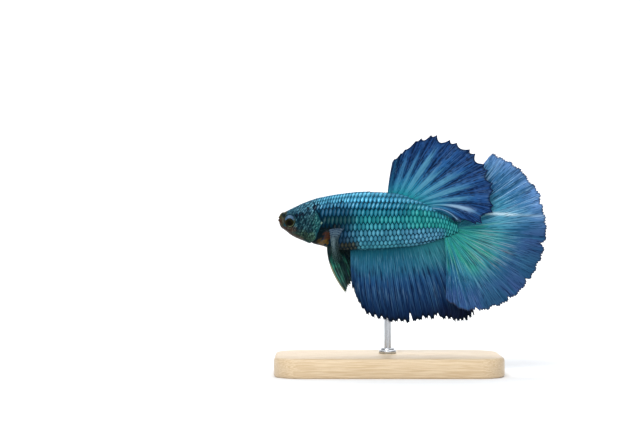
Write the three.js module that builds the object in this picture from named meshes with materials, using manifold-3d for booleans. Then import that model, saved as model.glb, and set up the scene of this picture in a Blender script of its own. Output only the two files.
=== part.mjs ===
// A life-size museum model of a male halfmoon betta, swimming, held by one rod on a flat base.
// Millimetres, +Z up. The snout points to -X and the fish's left side faces -Y.
// The origin is the middle of the base's underside, below the fish's centre of mass.

import * as THREE from "three";
import { mergeVertices } from "three/addons/utils/BufferGeometryUtils.js";
import Module from "manifold-3d";

const wasm = await Module();
wasm.setup();

// ---- Driving dimensions -------------------------------------------------------------------

const STANDARD_LENGTH = 45.2; // snout to the root of the tail fin
const SNOUT_X = -28; // where the snout stands over the base
const AXIS_Z = 39.3; // height of the snout above the floor
const NOSE_ROUNDING = 0.95; // length over which the snout closes
const TAIL_ROUNDING = 1.4; // length over which the tail stalk closes
const GAP = 0.3; // clearance between neighbouring pieces
const FIN_THICKNESS = 0.62; // measured along Y, so that a slanting fin is still 0.5 thick
const PAIRED_THICKNESS = 0.56; // the same for the breast and belly fins, which slant less

// The body's outline at stations behind the snout: height of the back and of the belly over
// the axis, and half the width.
const STATIONS = [
  { x: 0.0, back: 1.75, belly: -1.55, half: 1.15 },
  { x: 1.4, back: 2.2, belly: -2.5, half: 1.75 },
  { x: 3.6, back: 3.15, belly: -4.15, half: 2.4 },
  { x: 7.0, back: 4.7, belly: -5.6, half: 3.1 },
  { x: 10.6, back: 5.85, belly: -6.6, half: 3.55 },
  { x: 16.0, back: 6.85, belly: -7.75, half: 3.75 },
  { x: 22.5, back: 7.4, belly: -7.6, half: 3.6 },
  { x: 29.0, back: 7.15, belly: -7.2, half: 3.15 },
  { x: 34.5, back: 5.55, belly: -6.8, half: 2.45 },
  { x: 40.0, back: 3.05, belly: -5.5, half: 1.6 },
  { x: 43.4, back: 1.0, belly: -4.4, half: 1.15 },
  { x: 46.0, back: -0.6, belly: -3.5, half: 0.85 },
];

// ---- Colours ------------------------------------------------------------------------------

const finish = (color, roughness, metalness) =>
  new THREE.MeshStandardMaterial({ color, roughness, metalness });

const SCALED_SKIN = finish(0x2f8296, 0.35, 0.35);
const HEAD_SKIN = finish(0x2a5a66, 0.4, 0.25);
const GILL_COVER = finish(0x27606b, 0.35, 0.3);
const LIPS = finish(0x5c4a2c, 0.5, 0);
const EYE = finish(0x101410, 0.1, 0);
const UPPER_FIN = finish(0x2f5f93, 0.45, 0.15);
const TAIL_FIN = finish(0x3c7b93, 0.45, 0.15);
const LOWER_FIN = finish(0x285a78, 0.45, 0.15);
const PAIRED_FIN = finish(0x2b4640, 0.45, 0.1);
const CLEAR_FIN = finish(0x5d7480, 0.4, 0);
const MAPLE = finish(0xcbb48c, 0.5, 0);
const STEEL = finish(0xb8bcc0, 0.25, 1);

// ---- Small tools --------------------------------------------------------------------------

// A smooth curve through knots that never overshoots them: returns y for any x.
function smoothThrough(xs, ys) {
  const n = xs.length;
  const slope = xs.slice(1).map((x, i) => (ys[i + 1] - ys[i]) / (x - xs[i]));
  const tangent = ys.map((_, i) => {
    if (i === 0) return slope[0];
    if (i === n - 1) return slope[n - 2];
    if (slope[i - 1] * slope[i] <= 0) return 0;
    return (2 * slope[i - 1] * slope[i]) / (slope[i - 1] + slope[i]);
  });
  return (x) => {
    let i = 0;
    while (i < n - 2 && x > xs[i + 1]) i++;
    const span = xs[i + 1] - xs[i];
    const t = Math.min(Math.max((x - xs[i]) / span, 0), 1);
    const rest = 1 - t;
    return (
      ys[i] * (1 + 2 * t) * rest * rest +
      ys[i + 1] * (3 - 2 * t) * t * t +
      span * t * rest * (tangent[i] * rest - tangent[i + 1] * t)
    );
  };
}

const smoothStep = (low, high, x) => {
  const t = Math.min(Math.max((x - low) / (high - low), 0), 1);
  return t * t * (3 - 2 * t);
};

// The same irregular number from 0 to 1 for the same whole number.
const uneven = (i) => {
  const s = Math.sin(i * 12.9898 + 4.1) * 43758.5453;
  return s - Math.floor(s);
};

// A closed geometry as a solid that manifold-3d can join and cut, facing outwards.
function solidFrom(geometry) {
  const bare = geometry.index ? geometry.toNonIndexed() : geometry.clone();
  bare.deleteAttribute("normal");
  bare.deleteAttribute("uv");
  const merged = mergeVertices(bare, 1e-4);
  const solid = new wasm.Manifold(
    new wasm.Mesh({
      numProp: 3,
      vertProperties: merged.attributes.position.array,
      triVerts: new Uint32Array(merged.index.array),
    }),
  );
  return solid.volume() < 0 ? turnedOut(merged) : solid;
}

// The same mesh with every triangle reversed, for a shape that came out inside out.
function turnedOut(merged) {
  const triVerts = new Uint32Array(merged.index.array);
  for (let i = 0; i < triVerts.length; i += 3) {
    [triVerts[i + 1], triVerts[i + 2]] = [triVerts[i + 2], triVerts[i + 1]];
  }
  return new wasm.Manifold(
    new wasm.Mesh({ numProp: 3, vertProperties: merged.attributes.position.array, triVerts }),
  );
}

function geometryOf(solid) {
  const mesh = solid.getMesh();
  const points = new Float32Array(mesh.numVert * 3);
  for (let i = 0; i < mesh.numVert; i++) {
    points.set(mesh.vertProperties.subarray(i * mesh.numProp, i * mesh.numProp + 3), i * 3);
  }
  return new THREE.BufferGeometry()
    .setAttribute("position", new THREE.BufferAttribute(points, 3))
    .setIndex(new THREE.BufferAttribute(mesh.triVerts, 1));
}

function geometryFrom(points, faces) {
  return new THREE.BufferGeometry()
    .setAttribute("position", new THREE.Float32BufferAttribute(points.flat(), 3))
    .setIndex(faces.flat());
}

// The biggest body of a cut, because a boolean can leave a crumb beside it.
const mainBody = (solid) =>
  solid.decompose().reduce((a, b) => (a.volume() > b.volume() ? a : b));

// An outline in the fish's side view, as a slab from yLow to yHigh.
function sideSlab(shape, yLow, yHigh) {
  const slab = new THREE.ExtrudeGeometry(shape, {
    depth: yHigh - yLow,
    bevelEnabled: false,
    curveSegments: 10,
  });
  slab.rotateX(Math.PI / 2); // the outline's second axis becomes +Z, and its depth -Y
  slab.translate(0, yHigh, 0);
  return solidFrom(slab);
}

// ---- Body ---------------------------------------------------------------------------------

const stationsX = STATIONS.map((s) => s.x);
const backLine = smoothThrough(stationsX, STATIONS.map((s) => s.back));
const bellyLine = smoothThrough(stationsX, STATIONS.map((s) => s.belly));
const halfWidth = smoothThrough(stationsX, STATIONS.map((s) => s.half));
const BODY_END = STANDARD_LENGTH + 0.4;
const AROUND = 24; // points round the body
const RINGS = 28; // rings of them from the snout to the stalk's end
const FIRST_RING = 0.02; // the first and last ring stand this far inside the body's ends
const WIDEST_RISE = 0.12; // how far over its middle the trunk is widest, as a part of its height
const FULLNESS = 0.92; // below 1 the flanks are a little fuller than an ellipse's

// How far the section has opened, from 0 at the snout or the stalk's end to 1.
function opening(x) {
  const nose = Math.min(x / NOSE_ROUNDING, 1);
  const tail = Math.min((BODY_END - x) / TAIL_ROUNDING, 1);
  return Math.sqrt(1 - (1 - nose) ** 2) * Math.sqrt(1 - (1 - tail) ** 2);
}

// The body's surface, moved out by `grow`: x runs back from the snout, and `turn` runs round
// from the fish's left flank over the back.
function bodyPoint(x, turn, grow) {
  const open = opening(x);
  const middle = (backLine(x) + bellyLine(x)) / 2;
  const widest = middle + WIDEST_RISE * (backLine(x) - bellyLine(x)) * smoothStep(6, 20, x);
  const up = Math.sin(turn);
  const height = up > 0 ? backLine(x) - widest : widest - bellyLine(x);
  const out = Math.sign(Math.cos(turn)) * Math.abs(Math.cos(turn)) ** FULLNESS;
  return [x, -(halfWidth(x) * open + grow) * out, widest + (height * open + grow) * up];
}

function bodySolid(grow) {
  const points = [];
  const faces = [];
  for (let i = 0; i <= RINGS; i++) {
    const t = i / RINGS;
    const eased = t < 0.5 ? 2 * t * t * (1 - t) + t * t : t; // rings crowd at the snout
    const x = FIRST_RING + (BODY_END - 2 * FIRST_RING) * eased;
    for (let j = 0; j < AROUND; j++) {
      const [px, py, pz] = bodyPoint(x, (2 * Math.PI * j) / AROUND, grow);
      points.push([px + grow * (2 * t - 1), py, pz]); // the ends move out by grow as well
    }
  }
  for (let i = 0; i < RINGS; i++) {
    for (let j = 0; j < AROUND; j++) {
      const a = i * AROUND + j;
      const b = i * AROUND + ((j + 1) % AROUND);
      faces.push([a, a + AROUND, b], [b, a + AROUND, b + AROUND]);
    }
  }
  for (const end of [0, RINGS]) {
    const middle = points.length;
    const ring = points.slice(end * AROUND, (end + 1) * AROUND);
    points.push([0, 1, 2].map((k) => ring.reduce((sum, p) => sum + p[k], 0) / AROUND));
    for (let j = 0; j < AROUND; j++) {
      const a = end * AROUND + j;
      const b = end * AROUND + ((j + 1) % AROUND);
      faces.push(end ? [b, a, middle] : [a, b, middle]);
    }
  }
  return solidFrom(geometryFrom(points, faces));
}

const body = bodySolid(0);
const bodyGrown = bodySolid(GAP);

// ---- Head, jaw, gill covers and trunk -----------------------------------------------------

const GILL_EDGE_X = 10.8; // the rear edge of the gill cover at its middle
const GILL_TOP_Z = 1.9;
const GILL_FOOT_Z = -6.4;
const STALK_X = 37.5; // where the trunk ends and the tail stalk begins
const PLATE_DEPTH = 0.7; // how deep the gill cover's plate goes
const CUT_SIDE = 9; // the slabs that part the body reach this far to either side of it,
const CUT_HEIGHT = 12; // this far above and below its axis,
const CUT_FRONT = -3; // and this far in front of the snout
const MIDDLE_STRIP = 0.4; // half the strip along the middle that no gill cover reaches into

// All that lies in front of the gill opening, whose edge is an arc that bulges backwards.
function headOutline(grow) {
  const shape = new THREE.Shape();
  shape.moveTo(CUT_FRONT, CUT_HEIGHT);
  shape.lineTo(GILL_EDGE_X - 1.2 + grow, CUT_HEIGHT);
  shape.lineTo(GILL_EDGE_X - 1.0 + grow, GILL_TOP_Z + 1);
  shape.quadraticCurveTo(GILL_EDGE_X + 1.1 + grow, -2, GILL_EDGE_X - 2.6 + grow, GILL_FOOT_Z);
  shape.lineTo(GILL_EDGE_X - 3.4 + grow, -CUT_HEIGHT);
  shape.lineTo(CUT_FRONT, -CUT_HEIGHT);
  shape.closePath();
  return shape;
}

// The gill cover: a rounded plate from behind the eye to the gill opening.
function gillCoverOutline(grow) {
  const shape = new THREE.Shape();
  shape.moveTo(GILL_EDGE_X + 2, GILL_TOP_Z + grow);
  shape.lineTo(7.4, GILL_TOP_Z + grow);
  shape.quadraticCurveTo(5.4 - grow, -1.6, 7.6 - grow, -4.9 - grow);
  shape.lineTo(GILL_EDGE_X + 2, -5.4 - grow);
  shape.closePath();
  return shape;
}

// The lower jaw: below the mouth's slanting cleft, back to the jaw joint.
function jawOutline(grow) {
  const shape = new THREE.Shape();
  shape.moveTo(CUT_FRONT, 1.1 + grow);
  shape.lineTo(1.6 + grow, -1.7 + grow);
  shape.lineTo(4.8 + grow, -3.6 + grow);
  shape.lineTo(4.8 + grow, -CUT_HEIGHT);
  shape.lineTo(CUT_FRONT, -CUT_HEIGHT);
  shape.closePath();
  return shape;
}

const EYE_PLACE = { x: 2.95, side: 1.62, z: -0.28 };
const EYE_RADIUS = 1.52;
const EYE_FLATNESS = 0.7; // a fish's eyeball is flatter than a ball
const EYE_SIDES = 14; // faces round the eye
const EYE_RINGS = 10;

function eyeSolid(side, grow) {
  const ball = new THREE.SphereGeometry(EYE_RADIUS + grow, EYE_SIDES, EYE_RINGS);
  ball.rotateX(Math.PI / 2);
  ball.scale(1, (EYE_RADIUS * EYE_FLATNESS + grow) / (EYE_RADIUS + grow), 1);
  ball.translate(EYE_PLACE.x, side * EYE_PLACE.side, EYE_PLACE.z);
  return solidFrom(ball);
}

const core = bodySolid(-PLATE_DEPTH);
const deeperCore = bodySolid(-PLATE_DEPTH - GAP);
const across = (outline) => sideSlab(outline, -CUT_SIDE, CUT_SIDE);
const headRegion = across(headOutline(0));
const headRegionGrown = across(headOutline(GAP));
const jawRegion = across(jawOutline(0));
const jawRegionGrown = across(jawOutline(GAP));
const behindStalk = (from) => {
  const box = new THREE.BoxGeometry(STANDARD_LENGTH, 2 * CUT_SIDE, 2 * CUT_HEIGHT);
  box.translate(from + STANDARD_LENGTH / 2, 0, 0);
  return solidFrom(box);
};

const wholeHead = body.intersect(headRegion);
let head = wholeHead.subtract(jawRegionGrown);
const jaw = mainBody(wholeHead.intersect(jawRegion));
const gillCovers = {};
const eyes = {};
for (const [name, side] of [["left", -1], ["right", 1]]) {
  const [low, high] = side < 0 ? [-CUT_SIDE, -MIDDLE_STRIP] : [MIDDLE_STRIP, CUT_SIDE];
  const plate = wholeHead.intersect(sideSlab(gillCoverOutline(0), low, high));
  gillCovers[name] = mainBody(plate.subtract(core));
  head = head.subtract(sideSlab(gillCoverOutline(GAP), low, high).subtract(deeperCore));
  eyes[name] = eyeSolid(side, 0);
  head = head.subtract(eyeSolid(side, GAP));
}
head = mainBody(head);

// ---- Fins ---------------------------------------------------------------------------------

const SHALLOWEST_TOOTH = 0.55; // the teeth of an edge run from this part of the given depth
const TOOTH_RANGE = 0.9; // to this much more

// A fin is a fan of rays. Each key ray runs from its root past a bend to its tip, in the side
// view, and `sway` gives how far the fin stands out towards +Y. Between two ray tips the edge
// draws in by an arc, so that the tips stand out as points. A notch is a deeper cut near x.
function finSolid({ rays, teeth, toothDepth, perTooth, rows, sway, thickness, notches = [] }) {
  const places = rays.map((_, i) => i / (rays.length - 1));
  const curve = (pick) => smoothThrough(places, rays.map(pick));
  const part = ["root", "bend", "tip"].map((k) => [curve((r) => r[k][0]), curve((r) => r[k][1])]);
  const columns = teeth * perTooth;
  const points = [];
  for (const side of [-1, 1]) {
    for (let i = 0; i <= columns; i++) {
      const u = i / columns;
      const fromTip = Math.abs(((u * teeth + 0.5) % 1) - 0.5) * 2; // 0 on a ray, 1 between two
      const chance = uneven(Math.floor(u * teeth));
      const depth = toothDepth * (SHALLOWEST_TOOTH + TOOTH_RANGE * chance);
      const [root, bend, tip] = part.map(([fx, fz]) => [fx(u), fz(u)]);
      const long = Math.hypot(tip[0] - root[0], tip[1] - root[1]);
      const toothCut = depth * (1 - (1 - fromTip) ** 2);
      const notchCut = notches.reduce(
        (sum, notch) => sum + notch.depth * Math.exp(-(((tip[0] - notch.x) / notch.width) ** 2)),
        0,
      );
      const reach = 1 - (toothCut + notchCut) / long;
      for (let j = 0; j <= rows; j++) {
        const v = (j / rows) * reach;
        const at = [0, 1].map(
          (k) => root[k] * (1 - v) ** 2 + 2 * bend[k] * v * (1 - v) + tip[k] * v * v,
        );
        points.push([at[0], sway(u, v) + (side * thickness) / 2, at[1]]);
      }
    }
  }
  const wide = rows + 1;
  const sheet = wide * (columns + 1);
  const faces = [];
  const quad = (a, b, c, d) => faces.push([a, b, c], [a, c, d]);
  for (let i = 0; i < columns; i++) {
    for (let j = 0; j < rows; j++) {
      const a = i * wide + j;
      quad(a, a + 1, a + wide + 1, a + wide);
      quad(sheet + a, sheet + a + wide, sheet + a + wide + 1, sheet + a + 1);
    }
    for (const j of [0, rows]) {
      const a = i * wide + j;
      const corners = [a, a + wide, sheet + a + wide, sheet + a];
      quad(...(j ? corners.reverse() : corners));
    }
  }
  for (const i of [0, columns]) {
    for (let j = 0; j < rows; j++) {
      const a = i * wide + j;
      const corners = [a, sheet + a, sheet + a + 1, a + 1];
      quad(...(i ? corners.reverse() : corners));
    }
  }
  return solidFrom(geometryFrom(points, faces));
}

// A fin trimmed to meet the body, clear of its surface by GAP.
const onBody = (fin) => mainBody(fin.subtract(bodyGrown));

const wave = (turns, u, start = 0) => Math.sin(2 * Math.PI * (turns * u + start));

const dorsalFin = finSolid({
  rays: [
    { root: [27.8, 6.3], bend: [28.2, 10.8], tip: [29.2, 15.3] },
    { root: [28.7, 6.3], bend: [29.8, 11.1], tip: [31.8, 17.6] },
    { root: [30.0, 6.0], bend: [32.5, 12.0], tip: [35.9, 20.7] },
    { root: [31.2, 5.8], bend: [34.9, 13.0], tip: [39.8, 21.9] },
    { root: [32.4, 5.4], bend: [37.9, 12.1], tip: [44.8, 20.2] },
    { root: [33.5, 4.9], bend: [40.8, 10.6], tip: [49.7, 17.6] },
    { root: [34.4, 4.5], bend: [43.1, 8.8], tip: [53.2, 13.6] },
    { root: [35.2, 4.1], bend: [44.9, 6.7], tip: [54.9, 8.5] },
    { root: [36.0, 3.7], bend: [46.0, 5.4], tip: [54.9, 2.8] },
    { root: [36.8, 3.2], bend: [44.6, 5.0], tip: [51.2, -1.1] },
    { root: [37.2, 2.9], bend: [42.6, 3.9], tip: [46.0, -0.4] },
    { root: [39.0, 2.2], bend: [42.6, 2.2], tip: [45.2, -0.9] },
  ],
  teeth: 22,
  toothDepth: 0.95,
  perTooth: 2,
  rows: 4,
  thickness: FIN_THICKNESS,
  sway: (u, v) => -2.6 * v ** 0.9 * smoothStep(0.25, 1, u) + 0.42 * v * wave(11, u, 0.25),
});

const analFin = finSolid({
  rays: [
    { root: [18.4, -7.0], bend: [18.3, -12.5], tip: [18.9, -17.6] },
    { root: [20.9, -6.9], bend: [20.0, -15.5], tip: [22.1, -23.8] },
    { root: [25.0, -6.6], bend: [24.9, -16.0], tip: [27.2, -26.2] },
    { root: [29.3, -6.2], bend: [30.4, -15.5], tip: [32.2, -26.8] },
    { root: [33.0, -5.6], bend: [35.4, -15.6], tip: [37.6, -26.0] },
    { root: [36.3, -4.9], bend: [40.2, -14.6], tip: [42.9, -26.0] },
    { root: [39.8, -4.1], bend: [45.0, -13.6], tip: [46.9, -26.6] },
    { root: [43.0, -3.2], bend: [47.4, -12.0], tip: [50.6, -25.4] },
  ],
  notches: [
    { x: 34.1, depth: 2.0, width: 0.4 },
    { x: 41.3, depth: 1.5, width: 0.4 },
  ],
  teeth: 24,
  toothDepth: 0.85,
  perTooth: 2,
  rows: 4,
  thickness: FIN_THICKNESS,
  sway: (u, v) => 2.4 * v ** 0.7 * smoothStep(0.5, 1, u) + 0.4 * v * wave(7, u),
});

const TAIL_CENTRE = { x: 45.2, z: -2.8 }; // the middle of the fan
const TAIL_ROOT = { x: 42.6, z: -2.3, long: 2.1, high: 1.5 }; // the oval the rays start on
const TAIL_TOP = 68; // degrees above the horizontal of the highest ray
const TAIL_FOOT = -98;
const TAIL_KEYS = 34; // enough key rays to follow every knot of the reach below
// How far the tail fin reaches from its centre, at each angle.
const tailReach = smoothThrough(
  [-98, -80, -55, -20, 7, 12.5, 23, 30, 37, 45, 54, 58, 62, 64.5, 67, 69],
  [18, 21, 22.5, 23.2, 23.8, 23.5, 24, 23.8, 23.4, 23.5, 22.7, 22.6, 23.2, 21.6, 19, 17],
);
const tailRays = Array.from({ length: TAIL_KEYS }, (_, i) => {
  const degrees = TAIL_TOP + ((TAIL_FOOT - TAIL_TOP) * i) / (TAIL_KEYS - 1);
  const turn = THREE.MathUtils.degToRad(degrees);
  const long = tailReach(degrees);
  const level = Math.cos(turn);
  const up = Math.sin(turn);
  const tip = [TAIL_CENTRE.x + long * level, TAIL_CENTRE.z + long * up];
  const root = [TAIL_ROOT.x + TAIL_ROOT.long * level, TAIL_ROOT.z + TAIL_ROOT.high * up];
  const bend = [0.5 * (root[0] + tip[0]) + 0.5, 0.5 * (root[1] + tip[1])];
  return { root, bend, tip };
});
const tailFan = {
  rays: tailRays,
  teeth: 24,
  toothDepth: 0.6,
  perTooth: 3,
  rows: 4,
  thickness: FIN_THICKNESS,
  sway: (u, v) =>
    v ** 0.8 * (1.5 - 3.1 * smoothStep(0.1, 0.9, u)) +
    0.5 * v * wave(5, u, 0.2) * (1 - smoothStep(0.85, 1, u)),
};
const caudalFin = finSolid(tailFan);
// The room the anal fin leaves to the tail fin where the two start close together.
const tailFinRoom = finSolid({ ...tailFan, thickness: FIN_THICKNESS + 2 * GAP });

// The paired fins start on the body's side, and the right one is posed a little differently.
const pairedRays = {
  pectoral_fin_left: {
    rays: [
      { root: [12.9, -2.3], bend: [13.6, -5.1], tip: [13.8, -10.6] },
      { root: [14.8, -2.1], bend: [13.8, -5.2], tip: [15.0, -11.6] },
      { root: [16.7, -2.1], bend: [13.6, -5.7], tip: [16.4, -9.6] },
    ],
    sway: (u, v) => -3.95 - 1.4 * v ** 0.8 + 0.2 * v * wave(2.5, u),
  },
  pectoral_fin_right: {
    rays: [
      { root: [13.1, -1.6], bend: [14.6, -4.6], tip: [16.9, -7.4] },
      { root: [13.8, -2.3], bend: [15.0, -5.8], tip: [16.6, -9.8] },
      { root: [14.2, -3.2], bend: [14.2, -6.4], tip: [14.6, -9.9] },
    ],
    sway: (u, v) => 3.2 + 3.4 * v ** 0.8 + 0.2 * v * wave(2.5, u),
  },
  ventral_fin_left: {
    rays: [
      { root: [12.4, -5.8], bend: [12.0, -12.2], tip: [17.3, -18.7] },
      { root: [13.3, -5.9], bend: [14.9, -12.0], tip: [17.6, -17.4] },
      { root: [14.4, -6.0], bend: [17.6, -11.4], tip: [18.0, -15.4] },
    ],
    sway: (u, v) => -1.3 - 1.5 * v + 0.22 * v * wave(2, u),
  },
  ventral_fin_right: {
    rays: [
      { root: [12.9, -5.8], bend: [14.0, -12.0], tip: [18.3, -17.2] },
      { root: [14.2, -6.0], bend: [17.0, -11.0], tip: [18.9, -15.4] },
      { root: [17.9, -6.9], bend: [20.2, -9.6], tip: [19.2, -13.4] },
    ],
    sway: (u, v) => 1.3 + 1.9 * v + 0.22 * v * wave(2, u),
  },
};
const pairedFins = Object.fromEntries(
  Object.entries(pairedRays).map(([name, { rays, sway }]) => [
    name,
    onBody(
      finSolid({
        rays,
        sway,
        teeth: 4,
        toothDepth: 0.35,
        perTooth: 2,
        rows: 4,
        thickness: PAIRED_THICKNESS,
      }),
    ),
  ]),
);

// ---- Stand --------------------------------------------------------------------------------

const BASE = { length: 58, width: 30, height: 5, corner: 7, chamfer: 0.8 };
const ROD = { radius: 0.9, side: 2.6, sunk: 3.5, into: 2.6 };
const COLLAR = { radius: 2.2, height: 1.4, straight: 0.6, slope: 0.5 };
const ROD_CLEARANCE = 0.1;
const ROUND_SIDES = 20; // faces round the rod and the collar
const FISH_TO_FLOOR = new THREE.Vector3(SNOUT_X, 0, AXIS_Z);

function roundedBlock() {
  const inset = BASE.chamfer;
  const halfX = BASE.length / 2 - inset;
  const halfY = BASE.width / 2 - inset;
  const r = BASE.corner - inset;
  const shape = new THREE.Shape();
  shape.moveTo(-halfX + r, -halfY);
  for (const [sx, sy, start] of [[1, -1, -90], [1, 1, 0], [-1, 1, 90], [-1, -1, 180]]) {
    const from = THREE.MathUtils.degToRad(start);
    shape.absarc(sx * (halfX - r), sy * (halfY - r), r, from, from + Math.PI / 2, false);
  }
  const block = new THREE.ExtrudeGeometry(shape, {
    depth: BASE.height - 2 * inset,
    bevelThickness: inset,
    bevelSize: inset,
    bevelSegments: 1,
    curveSegments: 4,
  });
  block.translate(0, 0, inset);
  return solidFrom(block);
}

// An upright cylinder from low to high, on the floor's frame.
function upright(radius, low, high) {
  const bar = new THREE.CylinderGeometry(radius, radius, high - low, ROUND_SIDES);
  bar.rotateX(Math.PI / 2);
  bar.translate(0, ROD.side, (low + high) / 2);
  return solidFrom(bar);
}

const rodFoot = BASE.height - ROD.sunk;
// The rod enters the flank where the body, seen from below, is as wide as the rod stands out.
const rodX = -SNOUT_X;
const lowMiddle = (backLine(rodX) + bellyLine(rodX)) / 2;
const flankDrop = Math.sqrt(1 - (ROD.side / halfWidth(rodX)) ** 2);
const rodMeetsBody = AXIS_Z + lowMiddle + (bellyLine(rodX) - lowMiddle) * flankDrop;
const rodHead = rodMeetsBody + ROD.into;
const rodHole = upright(ROD.radius + ROD_CLEARANCE, rodFoot, rodHead + ROD_CLEARANCE);

const standBase = roundedBlock().subtract(rodHole);
const standRod = upright(ROD.radius, rodFoot, rodHead);

function collarGeometry() {
  const inner = ROD.radius + ROD_CLEARANCE;
  const { radius, height, straight, slope } = COLLAR;
  const profile = [
    [inner, 0],
    [radius, 0],
    [radius, height * straight],
    [radius - slope, height],
    [inner, height],
    [inner, 0],
  ].map(([r, h]) => new THREE.Vector2(r, h));
  const ring = new THREE.LatheGeometry(profile, ROUND_SIDES);
  ring.rotateX(Math.PI / 2);
  ring.translate(0, ROD.side, BASE.height);
  return geometryOf(solidFrom(ring));
}

// ---- Assembly -----------------------------------------------------------------------------

const rodHoleInFish = rodHole.translate(-FISH_TO_FLOOR.x, 0, -FISH_TO_FLOOR.z);
const rear = body.subtract(headRegionGrown);
const trunk = mainBody(rear.subtract(behindStalk(STALK_X)).subtract(rodHoleInFish));
const tailStalk = mainBody(rear.intersect(behindStalk(STALK_X + GAP)));

const fish = new THREE.Group();
fish.position.copy(FISH_TO_FLOOR);
const add = (group, name, geometry, material) => {
  const mesh = new THREE.Mesh(geometry, material);
  mesh.name = name;
  group.add(mesh);
};

add(fish, "head", geometryOf(head), HEAD_SKIN);
add(fish, "lower_jaw", geometryOf(jaw), LIPS);
for (const side of ["left", "right"]) {
  add(fish, `gill_cover_${side}`, geometryOf(gillCovers[side]), GILL_COVER);
  add(fish, `eye_${side}`, geometryOf(eyes[side]), EYE);
  add(fish, `pectoral_fin_${side}`, geometryOf(pairedFins[`pectoral_fin_${side}`]), CLEAR_FIN);
  add(fish, `ventral_fin_${side}`, geometryOf(pairedFins[`ventral_fin_${side}`]), PAIRED_FIN);
}
add(fish, "trunk", geometryOf(trunk), SCALED_SKIN);
add(fish, "tail_stalk", geometryOf(tailStalk), SCALED_SKIN);
add(fish, "dorsal_fin", geometryOf(onBody(dorsalFin)), UPPER_FIN);
add(fish, "anal_fin", geometryOf(onBody(analFin.subtract(tailFinRoom))), LOWER_FIN);
add(fish, "caudal_fin", geometryOf(onBody(caudalFin)), TAIL_FIN);

const model = new THREE.Group();
model.add(fish);
add(model, "stand_base", geometryOf(standBase), MAPLE);
add(model, "stand_rod", geometryOf(standRod), STEEL);
add(model, "stand_collar", collarGeometry(), STEEL);

export default model;
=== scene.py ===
"""A life-size museum model of a swimming male halfmoon betta, on a plain display stand.

The fish is worked out in millimetres in a frame of its own: x runs back from the snout, y towards
the fish's right side and z up. The stand is worked out in metres from the boxes of its CAD nodes.
"""

import math

import bmesh
import bpy
import numpy as np
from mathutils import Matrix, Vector


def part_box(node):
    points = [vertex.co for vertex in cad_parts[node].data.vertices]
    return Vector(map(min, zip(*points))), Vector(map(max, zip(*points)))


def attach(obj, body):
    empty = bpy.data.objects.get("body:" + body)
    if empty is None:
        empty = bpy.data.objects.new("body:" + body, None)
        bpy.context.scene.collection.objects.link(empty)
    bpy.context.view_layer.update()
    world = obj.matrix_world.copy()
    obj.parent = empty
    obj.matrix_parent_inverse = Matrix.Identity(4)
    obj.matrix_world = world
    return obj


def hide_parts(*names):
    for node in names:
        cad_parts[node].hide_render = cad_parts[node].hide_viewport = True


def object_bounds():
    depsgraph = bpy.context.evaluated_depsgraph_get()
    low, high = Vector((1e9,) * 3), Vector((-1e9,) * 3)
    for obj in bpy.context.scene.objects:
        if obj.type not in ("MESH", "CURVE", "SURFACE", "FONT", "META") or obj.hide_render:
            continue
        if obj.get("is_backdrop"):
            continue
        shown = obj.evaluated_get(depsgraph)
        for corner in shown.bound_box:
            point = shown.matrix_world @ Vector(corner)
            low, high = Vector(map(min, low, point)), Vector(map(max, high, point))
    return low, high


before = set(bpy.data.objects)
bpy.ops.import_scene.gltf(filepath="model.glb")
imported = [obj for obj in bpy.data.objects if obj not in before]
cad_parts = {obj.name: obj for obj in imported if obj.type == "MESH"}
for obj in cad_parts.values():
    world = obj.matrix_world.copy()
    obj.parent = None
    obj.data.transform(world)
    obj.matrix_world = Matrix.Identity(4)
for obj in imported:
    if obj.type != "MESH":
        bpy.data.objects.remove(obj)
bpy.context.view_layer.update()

# ---- Stand base ---------------------------------------------------------------------------------
# A flat block of pale maple, planed and sanded, with rounded corners and softened edges. It is
# sealed with a thin satin lacquer, and the rod is let into it from above.

BASE_CORNER = 0.007
BASE_SOFTENING = 0.0009
BASE_EDGE_STEPS = 5
BASE_CORNER_STEPS = 14


def colour(red, green, blue):
    """A colour given by its 8-bit screen values, as linear light with full alpha."""
    shares = [part / 255 for part in (red, green, blue)]
    return (*[s / 12.92 if s <= 0.04045 else ((s + 0.055) / 1.055) ** 2.4 for s in shares], 1.0)


def node(tree, kind, inputs=(), **settings):
    """Adds a node, applies its settings, and sets its inputs or joins them to other sockets."""
    made = tree.nodes.new(kind)
    for name, value in settings.items():
        setattr(made, name, value)
    for name, value in dict(inputs).items():
        if isinstance(value, bpy.types.NodeSocket):
            tree.links.new(value, made.inputs[name])
        else:
            made.inputs[name].default_value = value
    return made


def calc(tree, operation, first, second=0.0, third=0.0):
    """One step of arithmetic on values that change over the surface."""
    made = node(tree, "ShaderNodeMath", {0: first, 1: second, 2: third}, operation=operation)
    return made.outputs[0]


def blended(tree, share, first, second, blend_type="MIX"):
    """The first colour, moved towards the second by share."""
    inputs = {0: share, 6: first, 7: second}
    made = node(tree, "ShaderNodeMix", inputs, data_type="RGBA", blend_type=blend_type)
    return made.outputs[2]


def ranged(tree, value, low, high, to_low=0.0, to_high=1.0):
    """The value, eased from one range to another and held at its ends."""
    inputs = {"Value": value, "From Min": low, "From Max": high, "To Min": to_low, "To Max": to_high}
    made = node(tree, "ShaderNodeMapRange", inputs, interpolation_type="SMOOTHSTEP")
    return made.outputs[0]


def stretched(tree, vector, scale, offset=(0.0, 0.0, 0.0)):
    """The same coordinates, moved and stretched."""
    return node(tree, "ShaderNodeMapping", {0: vector, 1: offset, 3: scale}).outputs[0]


def noise(tree, vector, scale, detail=2.0, roughness=0.5):
    """A cloudy value from 0 to 1."""
    inputs = {"Vector": vector, "Scale": scale, "Detail": detail, "Roughness": roughness}
    return node(tree, "ShaderNodeTexNoise", inputs).outputs[0]


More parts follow.
